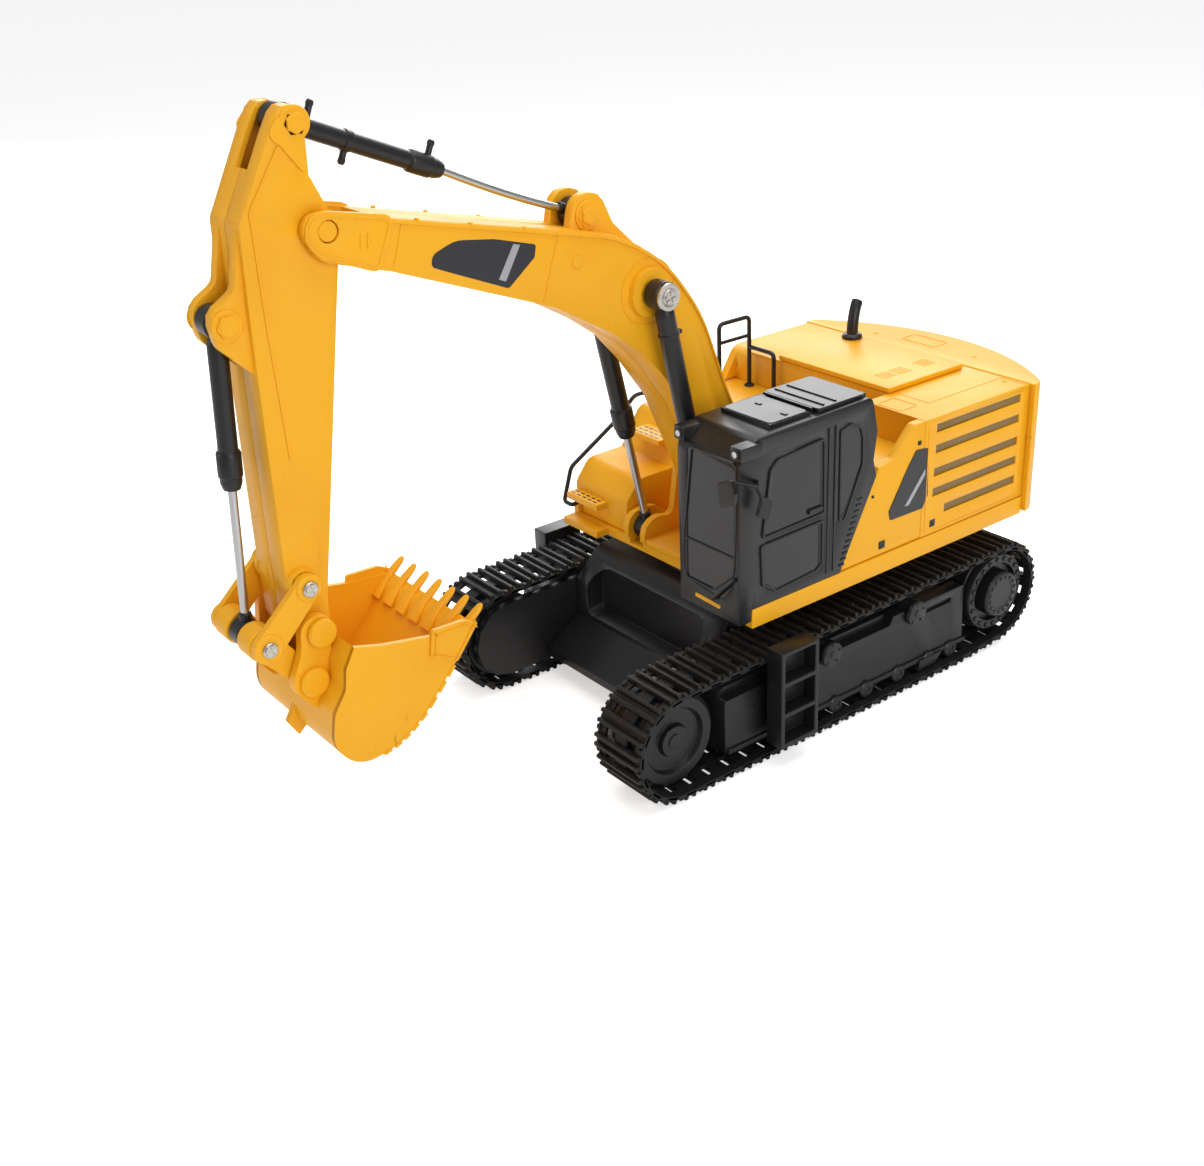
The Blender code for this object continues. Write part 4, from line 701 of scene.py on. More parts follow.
def build_ram(name, x, head, rod_end, barrel_body, rod_body, radius, length, eye_radius, ports, bow=0.0):
    """A black ram barrel with bands, gland and ports, and its bright rod with a black eye."""
    shape = bmesh.new()
    r = radius
    band = 1.14 if ports else 1.0
    add_turned(shape, (x, *head), (x, *rod_end), (
        (eye_radius * 0.7, r * 0.8), (eye_radius + 0.3, r * 0.84), (eye_radius + 1.2, r * 0.98),
        (eye_radius + 2.6, r), (length * 0.375, r), (length * 0.38, r * band), (length * 0.42, r * band),
        (length * 0.425, r), (length - 12.6, r), (length - 12.2, r * 1.16), (length - 11.6, r * 1.24),
        (length - 4.4, r * 1.24), (length - 4.0, r * 1.12), (length - 2.2, r * 1.10), (length, r * 0.86),
        (length, r * 0.6)), 44)
    add_turned(shape, (x - EYE_HALF, *head), (x + EYE_HALF, *head), (
        (0.0, eye_radius - 0.8), (0.5, eye_radius), (2 * EYE_HALF - 0.5, eye_radius),
        (2 * EYE_HALF, eye_radius - 0.8)), 44)
    along = (Vector(rod_end) - Vector(head)).normalized()
    for share, up in ports:
        centre = Vector(point_on(head, rod_end, length * share))
        lean = Vector((-along.y, along.x))
        top = centre + lean * up
        add_bar(shape, (x, *(centre + lean * math.copysign(r * 0.7, up))), (x, *top), 1.05, 16)
        add_bar(shape, (x, *(top - along * 0.9)), (x, *(top + along * 0.9)), 1.2, 14)
    make_piece(f"{name}_banded_barrel", shape, barrel_body, "black_plastic", edge=0.12,
               stands_for=[f"{name}_barrel"])
    rod = bmesh.new()
    rod_radius = radius * 0.46
    start = point_on(head, rod_end, length * 0.42)
    span = (Vector(rod_end) - Vector(start)).length
    route = []
    for step in range(25):
        share = step / 24
        swell = bow * math.sin(math.pi * max(0.0, (share * span - (length * 0.58)) / (span - length * 0.58)))
        place = Vector(start).lerp(Vector(rod_end), share) + Vector((-along.y, along.x)) * swell
        route.append((x, *place))
    add_wire(rod, route, rod_radius, 24)
    make_piece(f"{name}_bright_rod", rod, rod_body, "chromed_rod", edge=0, stands_for=[f"{name}_rod"])
    eye = bmesh.new()
    add_turned(eye, (x - EYE_HALF, *rod_end), (x + EYE_HALF, *rod_end), (
        (0.0, eye_radius - 0.9), (0.6, eye_radius - 0.1), (2 * EYE_HALF - 0.6, eye_radius - 0.1),
        (2 * EYE_HALF, eye_radius - 0.9)), 44)
    neck = point_on(rod_end, head, eye_radius + 2.2)
    add_turned(eye, (x, *rod_end), (x, *neck), ((eye_radius * 0.4, rod_radius * 1.5),
                                                (eye_radius + 1.8, rod_radius * 1.45),
                                                (eye_radius + 2.2, rod_radius * 1.2)), 28)
    make_piece(f"{name}_rod_eye", eye, rod_body, "black_plastic", edge=0.12)


def build_rams():
    """The four rams, with a hose clip on each boom ram."""
    for word, side in SIDES:
        build_ram(f"boom_ram_{word}", side * BOOM_RAM_X, BOOM_RAM_TOP, BOOM_RAM_FOOT, f"boom_barrel_{word}",
                  f"boom_rod_{word}", 3.5, 67.0, 5.2, ())
        clip = bmesh.new()
        place = point_on(BOOM_RAM_TOP, BOOM_RAM_FOOT, 14.0)
        away = point_on(BOOM_RAM_TOP, BOOM_RAM_FOOT, 15.4)
        x = side * BOOM_RAM_X
        add_bar(clip, (x, *place), (x, *away), 3.9, 40, 0.2)
        add_block(clip, (x - 1.0, place[0] + 3.2, place[1] - 1.2), (x + 1.0, place[0] + 5.4, place[1] + 0.2))
        make_piece(f"hose_clip_{word}", clip, f"boom_barrel_{word}", "black_plastic", edge=0.1)
    build_ram("arm_ram", 0.0, ARM_RAM_HEAD, ARM_RAM_ROD_END, "arm_barrel", "arm_rod", 2.9, 57.0, 5.0,
              ((0.15, 7.0), (0.40, -6.0), (0.90, 6.8)), bow=-0.9)
    build_ram("bucket_ram", 0.0, BUCKET_RAM_HEAD, LINK_PIN, "bucket_barrel", "bucket_rod", 3.1, 52.0, 5.0, ())


def build_pins():
    """Screws, washers and pin ends seen on the outside of the arm."""
    shape = bmesh.new()
    add_bar(shape, (-24.2, *BOOM_RAM_TOP), (24.2, *BOOM_RAM_TOP), 2.5)
    for _, side in SIDES:
        x = side * 23.7
        add_turned(shape, (x, *BOOM_RAM_TOP), (x + side * 3, *BOOM_RAM_TOP), (
            (0.0, 4.9), (0.7, 4.9), (1.0, 4.6), (1.0, 3.3), (0.8, 3.1)), 48)
        add_cross_screw(shape, (x + side * 0.7, *BOOM_RAM_TOP), side, 2.9)
    make_piece("boom_ram_screws", shape, "boom", "steel_fastener", edge=0.06, stands_for=["boom_ram_pin"])
    crank = bmesh.new()
    add_bar(crank, (-16.9, *CRANK_PIN), (16.9, *CRANK_PIN), 1.5)
    for _, side in SIDES:
        add_cross_screw(crank, (side * 16.5, *CRANK_PIN), side, 2.6)
    make_piece("crank_screws", crank, "stick", "steel_fastener", edge=0.06, stands_for=["crank_pin"])
    for word, side in SIDES:
        screw = bmesh.new()
        add_bar(screw, (side * 7.0, *LINK_PIN), (side * 16.9, *LINK_PIN), 1.5)
        add_cross_screw(screw, (side * 16.4, *LINK_PIN), side, 2.6)
        make_piece(f"link_cross_screw_{word}", screw, "crank", "steel_fastener", edge=0.06,
                   stands_for=[f"link_screw_{word}"])
    hub = bmesh.new()
    add_bar(hub, (-13.6, *BOOM_NOSE), (13.6, *BOOM_NOSE), 3.15, 48)
    make_piece("stick_pivot_cap", hub, "boom", "yellow_plastic", edge=0.1, stands_for=["stick_pivot_pin"])
    pin = bmesh.new()
    add_bar(pin, (-EAR_OUTER - 0.5, *BUCKET_PIN), (EAR_OUTER + 0.5, *BUCKET_PIN), 2.5)
    for _, side in SIDES:
        add_turned(pin, (side * (EAR_OUTER + 0.3), *BUCKET_PIN), (side * 22, *BUCKET_PIN), (
            (0.0, 4.9), (1.3, 4.9), (1.9, 4.3), (1.9, 0.4)), 48)
    make_piece("bucket_pivot_cap", pin, "bucket", "yellow_plastic", edge=0.1, stands_for=["bucket_pin"])


def build_linkage():
    """Cranks with raised eyes and the tie link between them."""
    for word, side in SIDES:
        shape = bmesh.new()
        low, high = x_span(side, 13.0, 15.6)
        add_plate(shape, "X", link(CRANK_PIN, 4.3, LINK_PIN, 4.9), low, high)
        for place, radius in ((CRANK_PIN, 4.5), (LINK_PIN, 5.1)):
            low, high = x_span(side, 13.0, 16.2)
            add_turned(shape, (low, *place), (high, *place), (
                (0.0, radius), (2.8, radius), (3.2, radius - 0.5)), 48)
        make_piece(f"crank_plate_{word}", shape, "crank", "yellow_plastic",
                   stands_for=[f"crank_link_{word}"])
    tie = bmesh.new()
    for _, side in SIDES:
        low, high = x_span(side, 4.0, 12.7)
        add_turned(tie, (low, *LINK_PIN), (high, *LINK_PIN), (
            (0.0, 5.1), (0.5, 5.6), (8.2, 5.6), (8.7, 5.1)), 48)
        add_plate(tie, "X", link(LINK_PIN, 4.8, BUCKET_LINK_PIN, 4.0), *x_span(side, 5.0, 12.2))
    add_bar(tie, (-12.4, *BUCKET_LINK_PIN), (12.4, *BUCKET_LINK_PIN), 4.0, 40)
    make_piece("tie_link_casting", tie, "tie_link", "yellow_plastic", stands_for=["tie_link"])


# ---------------------------------------------------------------- bucket, stick and boom

def strip_between(first, second):
    """Two open outlines joined into one closed band."""
    return list(first) + list(reversed(second))


def build_bucket():
    """The bucket: a curved sheet between cheeks, with teeth, side cutters, ears, a rib and wear strips."""
    shape = bmesh.new()
    back = rounded((-141.5, 77), (-150.0, 66, 60), (-164, 50.5), (-174, 44, 14), (-189.5, 41.2, 12),
                   (-198.0, 52, 12), (-195.8, 63.6, 4), (-191.0, 70.6, 4), (-190.0, 77.6, 4), (-186.2, 84.4))
    cheek = back + rounded((-186.2, 84.4), (-176.5, 81.6, 12), (-158, 78.2), (-141.5, 77))[1:-1]
    sheet_inner = inset(cheek, 1.8)[:len(back)]
    add_plate(shape, "X", strip_between(back, sheet_inner), -BUCKET_HALF + 0.2, BUCKET_HALF - 0.2)
    for _, side in SIDES:
        add_plate(shape, "X", cheek, *x_span(side, BUCKET_HALF - 1.8, BUCKET_HALF))
        cutter = rounded((-160, 71, 1), (-158.6, 80.6, 1.5), (-146, 80.2, 1), (-140.9, 77.6, 0.5),
                         (-150, 66.2, 1))
        add_plate(shape, "X", cutter, *x_span(side, BUCKET_HALF - 0.6, BUCKET_HALF + 0.9))
        add_frame(shape, "X", inset(cutter, 1.5), 0.6, *x_span(side, BUCKET_HALF + 0.6, BUCKET_HALF + 1.25))
        ear = rounded((-184.6, 92.0, 6.6), (-197.6, 94.2, 6.8), (-199.0, 82, 12), (-204.0, 71, 6.4),
                      (-197, 61.8, 6), (-192, 60), (-188, 84))
        add_plate(shape, "X", ear, *x_span(side, EAR_INNER, EAR_OUTER))
        add_turned(shape, (side * (EAR_INNER + 0.2), *BUCKET_LINK_PIN), (side * 20, *BUCKET_LINK_PIN), (
            (0.0, 5.0), (4.8, 5.0), (5.4, 4.4), (5.4, 1.0)), 48)
    add_plate(shape, "X", [(-196.4, 57.5), (-200.6, 50.6), (-197.2, 44.6), (-189, 52)], -1.1, 1.1)
    teeth = 7
    pitch = (2 * BUCKET_HALF - 5.4) / (teeth - 1)
    for tooth in range(teeth):
        add_tooth(shape, -BUCKET_HALF + 2.7 + pitch * tooth)
    strips = 8
    for strip in range(strips):
        start = Vector(wear_strip_place(strip / strips))
        end = Vector(wear_strip_place((strip + 0.72) / strips))
        heading = (end - start).normalized()
        outward = Vector((heading.y, -heading.x)) * -1.0
        outline = [start - outward * 0.6, end - outward * 0.6, end + outward * 0.75, start + outward * 0.75]
        for _, side in SIDES:
            low, high = x_span(side, BUCKET_HALF - 3.6, BUCKET_HALF + 0.25)
            add_plate(shape, "X", [tuple(point) for point in outline], low, high)
    make_piece("toothed_bucket", shape, "bucket", "yellow_plastic", edge=0.3, stands_for=["bucket"])


def add_tooth(shape, middle):
    """A finger tooth: wide where it leaves the lip, then nearly even, with a rounded tip."""
    stations = ((-149.8, 70.4, 3.1, 2.2), (-147.2, 73.0, 2.7, 2.6), (-144.4, 75.5, 1.75, 2.5),
                (-141.2, 78.2, 1.6, 2.1), (-138.4, 80.4, 1.5, 1.6), (-137.2, 81.4, 1.15, 1.15),
                (-136.7, 81.9, 0.55, 0.5))
    heading = Vector((-136.7 + 149.8, 81.9 - 70.4)).normalized()
    across = Vector((-heading.y, heading.x))
    steps = 12
    loops = []
    for y, z, half, thick in stations:
        ring = []
        for step in range(steps):
            angle = math.tau * (step + 0.5) / steps
            wide = math.copysign(abs(math.cos(angle)) ** 0.6, math.cos(angle)) * half
            high = math.copysign(abs(math.sin(angle)) ** 0.6, math.sin(angle)) * thick / 2
            place = Vector((y, z)) + across * high
            ring.append(shape.verts.new(at(middle + wide, *place)))
        loops.append(ring)
    skin(shape, loops)


def wear_strip_place(share):
    """A place along the bucket's curved lower edge, from the lip to the back."""
    places = ((-151.0, 65.0), (-157.4, 57.6), (-164.0, 50.7), (-169.5, 46.8), (-175.0, 43.9), (-181.6, 42.5))
    spot = share * (len(places) - 1)
    index = min(int(spot), len(places) - 2)
    return Vector(places[index]).lerp(Vector(places[index + 1]), spot - index)


def build_stick_dress():
    """Raised panels, hexagon pin ends and lug eyes on the stick."""
    for word, side in SIDES:
        shape = bmesh.new()
        low, high = x_span(side, STICK_HALF - 0.3, STICK_HALF + 0.45)
        lug = rounded((-184.1, 238.4, 3), (-179.8, 242.9, 3), (-175.4, 243.8, 3), (-172.2, 240.5, 3),
                      (-172.6, 231.7, 6), (-172.8, 225.6, 1), (-180.2, 235.6, 3))
        add_plate(shape, "X", lug, *x_span(side, STICK_HALF - 0.3, STICK_HALF + 0.8))
        ridge = [(-180.9, 235.2), (-192.2, 218.7), (-191.9, 184.5), (-190.6, 143.7)]
        add_plate(shape, "X", strip_between(ridge, [(y + 0.6, z) for y, z in ridge]), low, high)
        for place, inner in ((ARM_RAM_HEAD, STICK_HALF - 0.4), (BUCKET_RAM_HEAD, LUG_INNER + 4.0)):
            add_turned(shape, (side * inner, *place), (side * (inner + 3), *place), (
                (0.0, 5.0), (0.6, 5.0), (0.9, 4.6)), 40)
            add_turned(shape, (side * inner, *place), (side * (inner + 3), *place), (
                (0.0, 3.2), (1.7, 3.2), (2.0, 2.8)), 6)
        add_turned(shape, (side * 9.5, *CRANK_PIN), (side * 14, *CRANK_PIN), (
            (0.0, 5.6), (2.8, 5.3), (3.2, 4.9)), 48)
        make_piece(f"stick_raised_panels_{word}", shape, "stick", "yellow_plastic", edge=0.15)
    eye = bmesh.new()
    for _, side in SIDES:
        add_bar(eye, (side * 3.6, *ARM_RAM_HEAD), (side * 3.85, *ARM_RAM_HEAD), 4.4, 40, 0.1)
    make_piece("stick_head_washers", eye, "stick", "black_plastic", edge=0)


def boom_top_edge():
    """Places along the boom's upper edge, from nose to foot."""
    return rounded((-150.0, 210.4), (-86, 195.3), (-64, 190.1, 60), (-43.6, 178.3, 60), (-27.0, 156.3, 70),
                   (-17.0, 128.8), (-9.0, 110.2), step=math.radians(4))


def build_boom_dress():
    """Nose cheeks, top flanges, seam bands, ring bosses and the plain sticker on the boom."""
    for word, side in SIDES:
        shape = bmesh.new()
        cheek = rounded((-178.9, 208.6, 6), (-174.8, 216.9, 6), (-149.4, 211.5, 3), (-148.4, 208.6, 2),
                        (-154.4, 194.7, 3), (-173.2, 202.6, 6))
        add_frame(shape, "X", inset(cheek, 0.9), 0.7, *x_span(side, BOOM_HALF + 0.8, BOOM_HALF + 1.25))
        for place_y in (-160.0, -157.6):
            add_plate(shape, "X", [(place_y, 207.6), (place_y + 0.7, 207.6), (place_y + 0.2, 203.0),
                                   (place_y - 0.5, 203.0)], *x_span(side, BOOM_HALF + 0.8, BOOM_HALF + 1.3))
        edge = boom_top_edge()
        flange = strip_between(edge, [(y - 0.4, z - 1.3) for y, z in edge])
        add_plate(shape, "X", flange, *x_span(side, BOOM_HALF - 0.3, BOOM_HALF + 0.7))
        for place_y, place_z in ((-139.8, 208.0), (-121.0, 203.4), (-101.0, 198.6)):
            low_x, high_x = x_span(side, BOOM_HALF - 0.6, BOOM_HALF + 0.95)
            add_block(shape, (low_x, place_y - 0.5, place_z - 0.6), (high_x, place_y + 0.5, place_z + 0.8))
        add_ring(shape, side, BOOM_RAM_TOP, 11.4, 0.45, BOOM_HALF - 0.2, BOOM_HALF + 0.3)
        add_turned(shape, (side * 12.8, -80.6, 184.2), (side * 14, -80.6, 184.2), (
            (0.0, 2.6), (0.4, 2.6), (0.75, 2.1)), 6)
        lug = (-71.5, 197.2)
        add_turned(shape, (side * 7.3, *lug), (side * 12, *lug), ((0.0, 5.2), (0.6, 5.2), (0.9, 4.8)), 40)
        add_turned(shape, (side * 7.3, *lug), (side * 12, *lug), ((0.0, 3.4), (1.9, 3.4), (2.2, 3.0)), 6)
        for upper, lower in (((-145.2, 208.4), (-149.6, 195.2)), ((-88.0, 194.6), (-95.4, 173.4))):
            groove = [upper, (upper[0] + 0.5, upper[1]), (lower[0] + 0.5, lower[1]), lower]
            add_plate(shape, "X", groove, *x_span(side, BOOM_HALF - 0.3, BOOM_HALF + 0.3))
        make_piece(f"boom_raised_trim_{word}", shape, "boom", "yellow_plastic", edge=0.16)

        sticker = bmesh.new()
        film = rounded((-135.6, 196.6, 3), (-127.0, 199.6, 12), (-112.5, 197.4, 10), (-96.8, 192.9, 1),
                       (-97.6, 188.9, 1), (-108.4, 180.8, 1.5), (-130.0, 190.2, 6), (-136.2, 193.0, 1.5))
        add_plate(sticker, "X", film, *x_span(side, BOOM_HALF - 0.1, BOOM_HALF + 0.12))
        make_piece(f"boom_plain_sticker_{word}", sticker, "boom", "black_plastic", material=STICKER, edge=0)
        stripe = bmesh.new()
        band = ((-105.6, 194.6), (-103.0, 193.9), (-109.4, 183.3), (-112.0, 184.4))
        add_plate(stripe, "X", list(band), *x_span(side, BOOM_HALF, BOOM_HALF + 0.2))
        make_piece(f"boom_sticker_stripe_{word}", stripe, "boom", "black_plastic", material=STRIPE, edge=0)


def add_ring(shape, side, centre, radius, width, low, high):
    """Adds a flat ring across X about a (y, z) centre."""
    steps = 64
    low, high = x_span(side, low, high)
    loops = []
    for ring_radius, depth in ((radius, low), (radius, high), (radius + width, high), (radius + width, low)):
        points = ring_points(centre, ring_radius, steps)
        loops.append([shape.verts.new(at(depth, *point)) for point in points])
    skin(shape, loops, closed=True)


# ---------------------------------------------------------------- house

def build_house_dress():
    """Panel outlines, seams, latches, stickers, tread slots and hatches on the house."""
    trim = bmesh.new()
    for x0, x1, y0, y1 in ((-15.0, 3.5, 111.5, 120.5), (35.0, 47.3, 42.0, 52.0)):
        outline = rounded((x0, y0, 1), (x1, y0, 1), (x1, y1, 1), (x0, y1, 1))
        add_frame(trim, "Z", outline, 0.4, HOOD_TOP - 0.2, HOOD_TOP + 0.22)
    grooves = (((31.0, 56.7), (48.6, 57.1)), ((48.2, 56.7), (48.6, 99.7)), ((48.2, 99.3), (60.6, 99.7)))
    for low, high in grooves:
        add_block(trim, (*low, HOOD_TOP - 0.2), (*high, HOOD_TOP + 0.2))
    for x, y in ((23.6, 113.6), (52.3, 97.2), (-28.4, 110.3)):
        add_turned(trim, (x, y, HOOD_TOP - 0.2), (x, y, HOOD_TOP + 1), (
            (0.0, 1.0), (0.5, 0.9), (0.5, 0.4)), 24)
    for y0, y1 in ((61.0, 68.4), (69.4, 77.0), (84.0, 91.0)):
        for bar in range(6):
            y = y0 + (bar + 0.3) * (y1 - y0) / 6
            add_block(trim, (15.4, y, LID_TOP - 0.1), (22.3, y + 0.5, LID_TOP + 0.14))
    for _, side in SIDES:
        low, high = x_span(side, HOUSE_HALF - 0.4, HOUSE_HALF + 0.2)
        add_block(trim, (low, 42.8, 63.4), (high, 43.2, 106.6))
        add_block(trim, (low, 48.0, 63.0), (high, 101.0, 63.4))
    make_piece("hood_panel_trim", trim, "house", "yellow_plastic", edge=0.08)

    latches = bmesh.new()
    places = ((19.4, 65.8, 1.5), (47.5, 66.2, 1.5), (38.1, 101.7, 0.8), (5.5, 88.3, 0.5), (13.5, 87.1, 0.5))
    for y, z, size in places:
        add_block(latches, (HOUSE_HALF - 1.0, y - size, z - size), (HOUSE_HALF + 0.15, y + size, z + size))
        add_block(latches, (HOUSE_HALF, y - size * 0.5, z - size * 0.6),
                  (HOUSE_HALF + 0.35, y + size * 0.5, z))
    make_piece("side_latches", latches, "house", "black_plastic", edge=0.1)

    film = bmesh.new()
    outline = rounded((23.4, 74.6, 0.8), (22.6, 78.4, 1), (32.2, 93.6, 3), (36.4, 99.2, 1), (43.0, 98.6, 0.6),
                      (44.0, 79.2, 1), (41.4, 74.3, 1))
    add_plate(film, "X", outline, HOUSE_HALF - 0.6, HOUSE_HALF + 0.06)
    make_piece("side_plain_sticker", film, "house", "black_plastic", material=STICKER, edge=0)
    stripe = bmesh.new()
    add_plate(stripe, "X", [(31.0, 78.0), (41.8, 90.4), (41.8, 87.8), (33.4, 78.0)], HOUSE_HALF - 0.3,
              HOUSE_HALF + 0.12)
    make_piece("side_sticker_stripe", stripe, "house", "black_plastic", material=STRIPE, edge=0)

    treads = bmesh.new()
    steps = (((-58.6, -41.0), (-37.4, -31.2), 67.8), ((-48.6, -32.4), (-11.4, -3.2), 91.0))
    for (x0, x1), (y0, y1), z in steps:
        for dash in range(5):
            for row in range(3):
                x = x0 + dash * (x1 - x0) / 5
                y = y0 + row * (y1 - y0) / 3
                slot = rounded((x, y, 0.4), (x + 2.4, y, 0.4), (x + 2.4, y + 0.9, 0.4), (x, y + 0.9, 0.4))
                add_plate(treads, "Z", slot, z - 0.3, z + 0.08)
    make_piece("tread_slots", treads, "house", "black_plastic", edge=0)

    weight = bmesh.new()
    sagitta = 22.6
    radius = (COUNTERWEIGHT_HALF ** 2 + sagitta ** 2) / (2 * sagitta)
    centre = (0.0, SEAM_Y + 26.6 - radius)
    reach = math.asin(54.0 / radius)
    outer = arc_points(centre, radius + 0.12, math.pi / 2 - reach, math.pi / 2 + reach, 40)
    inner = arc_points(centre, radius - 1.0, math.pi / 2 - reach, math.pi / 2 + reach, 40)
    for low, high in ((58.0, 59.0), (104.6, 105.4)):
        add_plate(weight, "Z", strip_between(outer, inner), low, high)
    make_piece("counterweight_beads", weight, "house", "yellow_plastic", edge=0.15)


def build_rails():
    """The step handrail and the walkway guard, as smooth bent tube with small round feet."""
    rail = bmesh.new()
    add_wire(rail, bent(((-58, -34.3, 63.0), (-58, -37.4, 62.0), (-64, -37.4, 62.0), (-64, -33, 76),
                         (-63.4, -9.7, 90), (-62.4, 1, 99.6), (-59, 26, 99.6), (-59, 26, 96.4)), 2.0), 0.9, 16)
    make_piece("step_rail", rail, "house", "black_plastic", edge=0, stands_for=["step_handrail"])
    guard = bmesh.new()
    foot = 96.3
    hoop = ((-45, 33, foot), (-45, 33, 126.5), (-45, 50, 126.5), (-45, 50, foot))
    add_wire(guard, bent(hoop, 2.6), 0.95, 16)
    add_bar(guard, (-45, 33, 118.4), (-45, 50, 118.4), 0.8, 16)
    add_wire(guard, bent(((-45, 50, 113.4), (-30, 50, 113.4), (-30, 50, foot)), 2.4), 0.94, 16)
    for x, y in ((-45, 33), (-45, 50), (-30, 50)):
        add_turned(guard, (x, y, 96.05), (x, y, 99), ((0.0, 2.1), (0.6, 2.1), (0.9, 1.8), (0.9, 1.0)), 28)
    make_piece("walkway_guard", guard, "house", "black_plastic", edge=0, stands_for=["walkway_handrail"])
    pipe = bmesh.new()
    x, y = -25.5, 92.0
    route = [(x, y, 112.4)]
    for step in range(15):
        bend = step / 14
        lean = 1 - math.cos(bend)
        route.append((x - 4 * lean, y + 10 * lean, 113 + 16.4 * math.sin(bend)))
    add_wire(pipe, route, 2.45, 32)
    add_turned(pipe, (x, y, 112.3), (x, y, 116), ((0.0, 4.4), (1.0, 4.3), (1.9, 3.4), (2.1, 2.6)), 40)
    make_piece("curved_exhaust", pipe, "house", "black_plastic", edge=0.1, stands_for=["exhaust_pipe"])


def build_cab_dress():
    """Panes, door and screen frames, roof panel and ribs, louvres, lamps, strut and mirrors on the cab."""
    openings = (
        ((-41, 88, 1), (-14.5, 88, 1), (-14.5, 116, 2), (-36, 118, 5)),
        ((-41, 67, 3), (-15, 66, 3), (-15, 86, 1), (-41, 86, 1)),
        ((-7.4, 78, 2), (7.4, 103, 6), (8.4, 119, 4), (-7.4, 120, 2)))
    panes = bmesh.new()
    for corners in openings:
        add_plate(panes, "X", rounded(*corners), CAB_OUTER_X - 1.2, CAB_OUTER_X - 0.06)
    add_plate(panes, "Y", rounded((33.4, 66.5, 3), (52, 64.5, 3), (58, 72, 2), (59, 116, 2), (34.4, 118, 2)),
              -53.14, -52.0)
    make_piece("cab_window_panes", panes, "house", "black_plastic", material=SMOKED, edge=0.06)

    frames = bmesh.new()
    side_frames = (
        ((-43.1, 87.6, 1.5), (-12.1, 88.4, 1.5), (-12.6, 117.7, 2), (-35.6, 115.9, 2), (-39.4, 112.7, 3)),
        ((-43.8, 85.6, 1.5), (-12.8, 86.3, 1.5), (-12.6, 68.8, 1), (-16, 66.4, 2), (-36.6, 65, 2),
         (-39.2, 67.7, 1), (-43, 69.6, 1)),
        ((-5.3, 118.2, 1), (0.2, 119.5, 2), (5.6, 117, 2), (7, 112.7, 2), (7.3, 102.4, 5), (-4.9, 75.3, 2)))
    for corners in side_frames:
        add_frame(frames, "X", rounded(*corners), 0.95, CAB_OUTER_X - 0.4, CAB_OUTER_X + 0.5)
    for y in (-10.9, -7.6):
        add_block(frames, (CAB_OUTER_X - 0.2, y, 64.0), (CAB_OUTER_X + 0.35, y + 0.7, 120.6))
    add_block(frames, (CAB_OUTER_X - 0.2, -20.5, 90.5), (CAB_OUTER_X + 0.9, -13.8, 92.2))
    louvres = 12
    for louvre in range(louvres):
        share = louvre / (louvres - 1)
        y = -2.2 + 8.9 * share
        z = 64.9 + 23.8 * share
        add_block(frames, (CAB_OUTER_X - 0.2, y - 1.7, z - 0.4), (CAB_OUTER_X + 0.35, y + 0.8, z + 0.4))
    screen = rounded((36.5, 118.7, 2), (31.4, 82.3, 3), (31, 70.4, 2), (33.4, 66.5, 1.5), (47.8, 66.3, 3),
                     (58.8, 76.1, 3), (60, 95, 3), (60.2, 118.5, 2))
    add_frame(frames, "Y", screen, 0.9, -53.75, -53.0)
    add_block(frames, (32.2, -53.6, 82.3), (59.0, -53.0, 83.1))
    make_piece("cab_frames", frames, "house", "black_plastic", edge=0.2)

    roof = bmesh.new()
    rear_panel = rounded((31.8, -14.2, 1.5), (59.4, -14.2, 1.5), (59.4, 9.4, 1.5), (31.8, 9.4, 1.5))
    add_plate(roof, "Z", rear_panel, 126.0, 127.95)
    hatch = rounded((33.4, -35.6, 2), (57.6, -35.6, 2), (57.6, -17.4, 2), (33.4, -17.4, 2))
    add_plate(roof, "Z", hatch, 127.0, 127.7)
    for y in (-4.0, -10.0, -15.8):
        add_block(roof, (33.4, y - 0.45, 127.4), (57.8, y + 0.45, 128.4))
    for x, y in ((40.1, -24.6), (54.1, -25.7)):
        add_block(roof, (x - 1.3, y - 0.7, 127.5), (x + 1.3, y + 0.7, 128.05))
    for x in (31.0, 60.2):
        add_turned(roof, (x, -53.0, 122), (x, -55.0, 122), (
            (0.0, 1.9), (1.3, 1.8), (1.5, 1.6), (1.5, 1.0)), 28)
    make_piece("cab_roof_fittings", roof, "house", "black_plastic", edge=0.25)
    lenses = bmesh.new()
    for x in (31.0, 60.2):
        add_turned(lenses, (x, -54.0, 122), (x, -55.1, 122), (
            (0.0, 1.15), (0.55, 1.15), (0.85, 0.8), (0.95, 0.3)), 28)
    make_piece("cab_lamp_lenses", lenses, "house", "lamp_lens", edge=0,
               stands_for=["cab_lamp_left", "cab_lamp_right"])

    strut = bmesh.new()
    add_bar(strut, (47.8, -54.2, 63.4), (59.6, -54.2, 75.3), 0.75, 14)
    make_piece("cab_front_strut", strut, "house", "black_plastic", edge=0)
    badge = bmesh.new()
    strip = rounded((38.0, 60.9, 0.5), (51.2, 60.4, 0.5), (51.2, 61.9, 0.5), (38.0, 62.4, 0.5))
    add_plate(badge, "Y", strip, -53.8, -53.1)
    make_piece("cab_step_light", badge, "house", "yellow_plastic", edge=0.12)

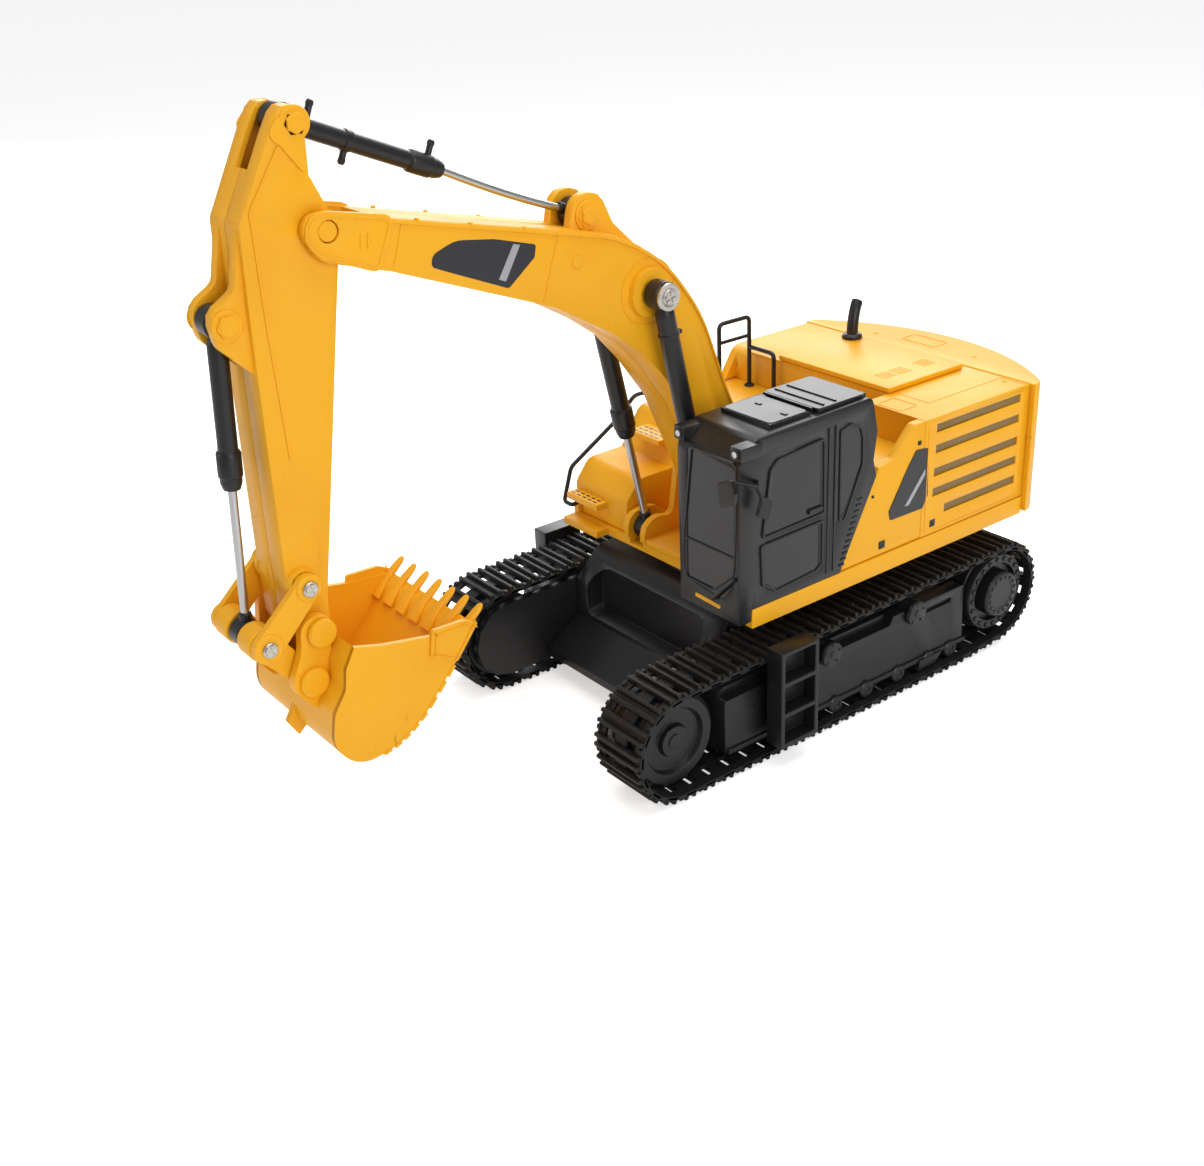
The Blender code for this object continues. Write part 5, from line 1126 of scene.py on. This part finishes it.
    mirrors = bmesh.new()
    arm = ((61.2, -45, 110), (66.2, -50, 111.3), (66.2, -60.2, 116), (64, -62, 113))
    add_wire(mirrors, bent(arm, 1.5), 0.75, 14)
    add_wire(mirrors, bent(((66.2, -50, 111.3), (66.4, -48.4, 108.0), (66.4, -47.0, 104.0)), 1.0), 0.7, 14)
    add_plate(mirrors, "Y", rounded((60.8, 114.6, 1), (67.8, 117.4, 1), (69.6, 112.9, 1), (69.0, 109, 1),
                                    (62.8, 105.9, 1), (61.7, 109.1, 1)), -63.2, -61.4)
    side_glass = rounded((-47.3, 107.3, 1), (-42.6, 103.5, 1), (-45.2, 97.3, 1), (-50, 100.2, 1))
    add_plate(mirrors, "X", side_glass, 65.4, 67.0)
    make_piece("cab_mirror_heads", mirrors, "house", "black_plastic", material=GLOSS_BLACK, edge=0.25,
               stands_for=["cab_mirrors"])


# ---------------------------------------------------------------- studio

def build_studio():
    """Pale floor, wide soft lights from above and both sides, and the camera."""
    floor_mesh = bpy.data.meshes.new("paper_sweep")
    corners = [(-1, -1), (1, -1), (1, 1), (-1, 1)]
    places = [(x * FLOOR_REACH_M, y * FLOOR_REACH_M, 0) for x, y in corners]
    floor_mesh.from_pydata(places, [], [(0, 1, 2, 3)])
    floor = bpy.data.objects.new("paper_sweep", floor_mesh)
    floor_mesh.materials.append(make_floor_finish())
    bpy.context.scene.collection.objects.link(floor)

    world = bpy.data.worlds.new("white_room")
    world.use_nodes = True
    tree = world.node_tree
    sky = tree.nodes["Background"]
    sky.inputs["Color"].default_value = (1.0, 1.0, 1.0, 1.0)
    eye = tree.nodes.new("ShaderNodeLightPath")
    strength = tree.nodes.new("ShaderNodeMapRange")
    strength.inputs["To Min"].default_value = ROOM_LIGHT
    strength.inputs["To Max"].default_value = BACKDROP_LIGHT
    tree.links.new(eye.outputs["Is Camera Ray"], strength.inputs["Value"])
    tree.links.new(strength.outputs["Result"], sky.inputs["Strength"])
    bpy.context.scene.world = world
    middle = Vector((0.0, 0.0, 0.09))
    for name, place, (wide, tall), power in SOFTBOXES:
        data = bpy.data.lights.new(name, "AREA")
        data.shape = "RECTANGLE"
        data.size, data.size_y = wide, tall
        data.energy = power
        lamp = bpy.data.objects.new(name, data)
        lamp.location = place
        lamp.rotation_euler = (middle - Vector(place)).to_track_quat("-Z", "Y").to_euler()
        bpy.context.scene.collection.objects.link(lamp)

    azimuth, elevation, roll = (math.radians(angle) for angle in
                                (CAMERA_AZIMUTH, CAMERA_ELEVATION, CAMERA_ROLL))
    target = at(*CAMERA_TARGET)
    back = Vector((math.sin(azimuth) * math.cos(elevation), -math.cos(azimuth) * math.cos(elevation),
                   math.sin(elevation)))
    right = (-back).cross(Vector((0, 0, 1))).normalized()
    up = right.cross(-back)
    tilted_right = math.cos(roll) * right + math.sin(roll) * up
    tilted_up = math.cos(roll) * up - math.sin(roll) * right
    data = bpy.data.cameras.new("view_camera")
    data.sensor_width = 36.0
    data.lens = CAMERA_LENS
    data.clip_start = 0.01
    camera = bpy.data.objects.new("view_camera", data)
    turn = Matrix((tilted_right, tilted_up, back)).transposed()
    camera.matrix_world = Matrix.Translation(target + back * CAMERA_DISTANCE * MM) @ turn.to_4x4()
    bpy.context.scene.collection.objects.link(camera)
    bpy.context.scene.camera = camera
    bpy.context.scene.view_settings.view_transform = "Standard"


# ---------------------------------------------------------------- assembly

dress_frame_nodes()
for word, side in SIDES:
    build_belt(word, side)
    build_wheels(word, side)
    build_roller_ends(word, side)
build_rams()
build_pins()
build_linkage()
build_bucket()
build_stick_dress()
build_boom_dress()
build_house_dress()
build_rails()
build_cab_dress()
build_studio()

bpy.context.view_layer.update()
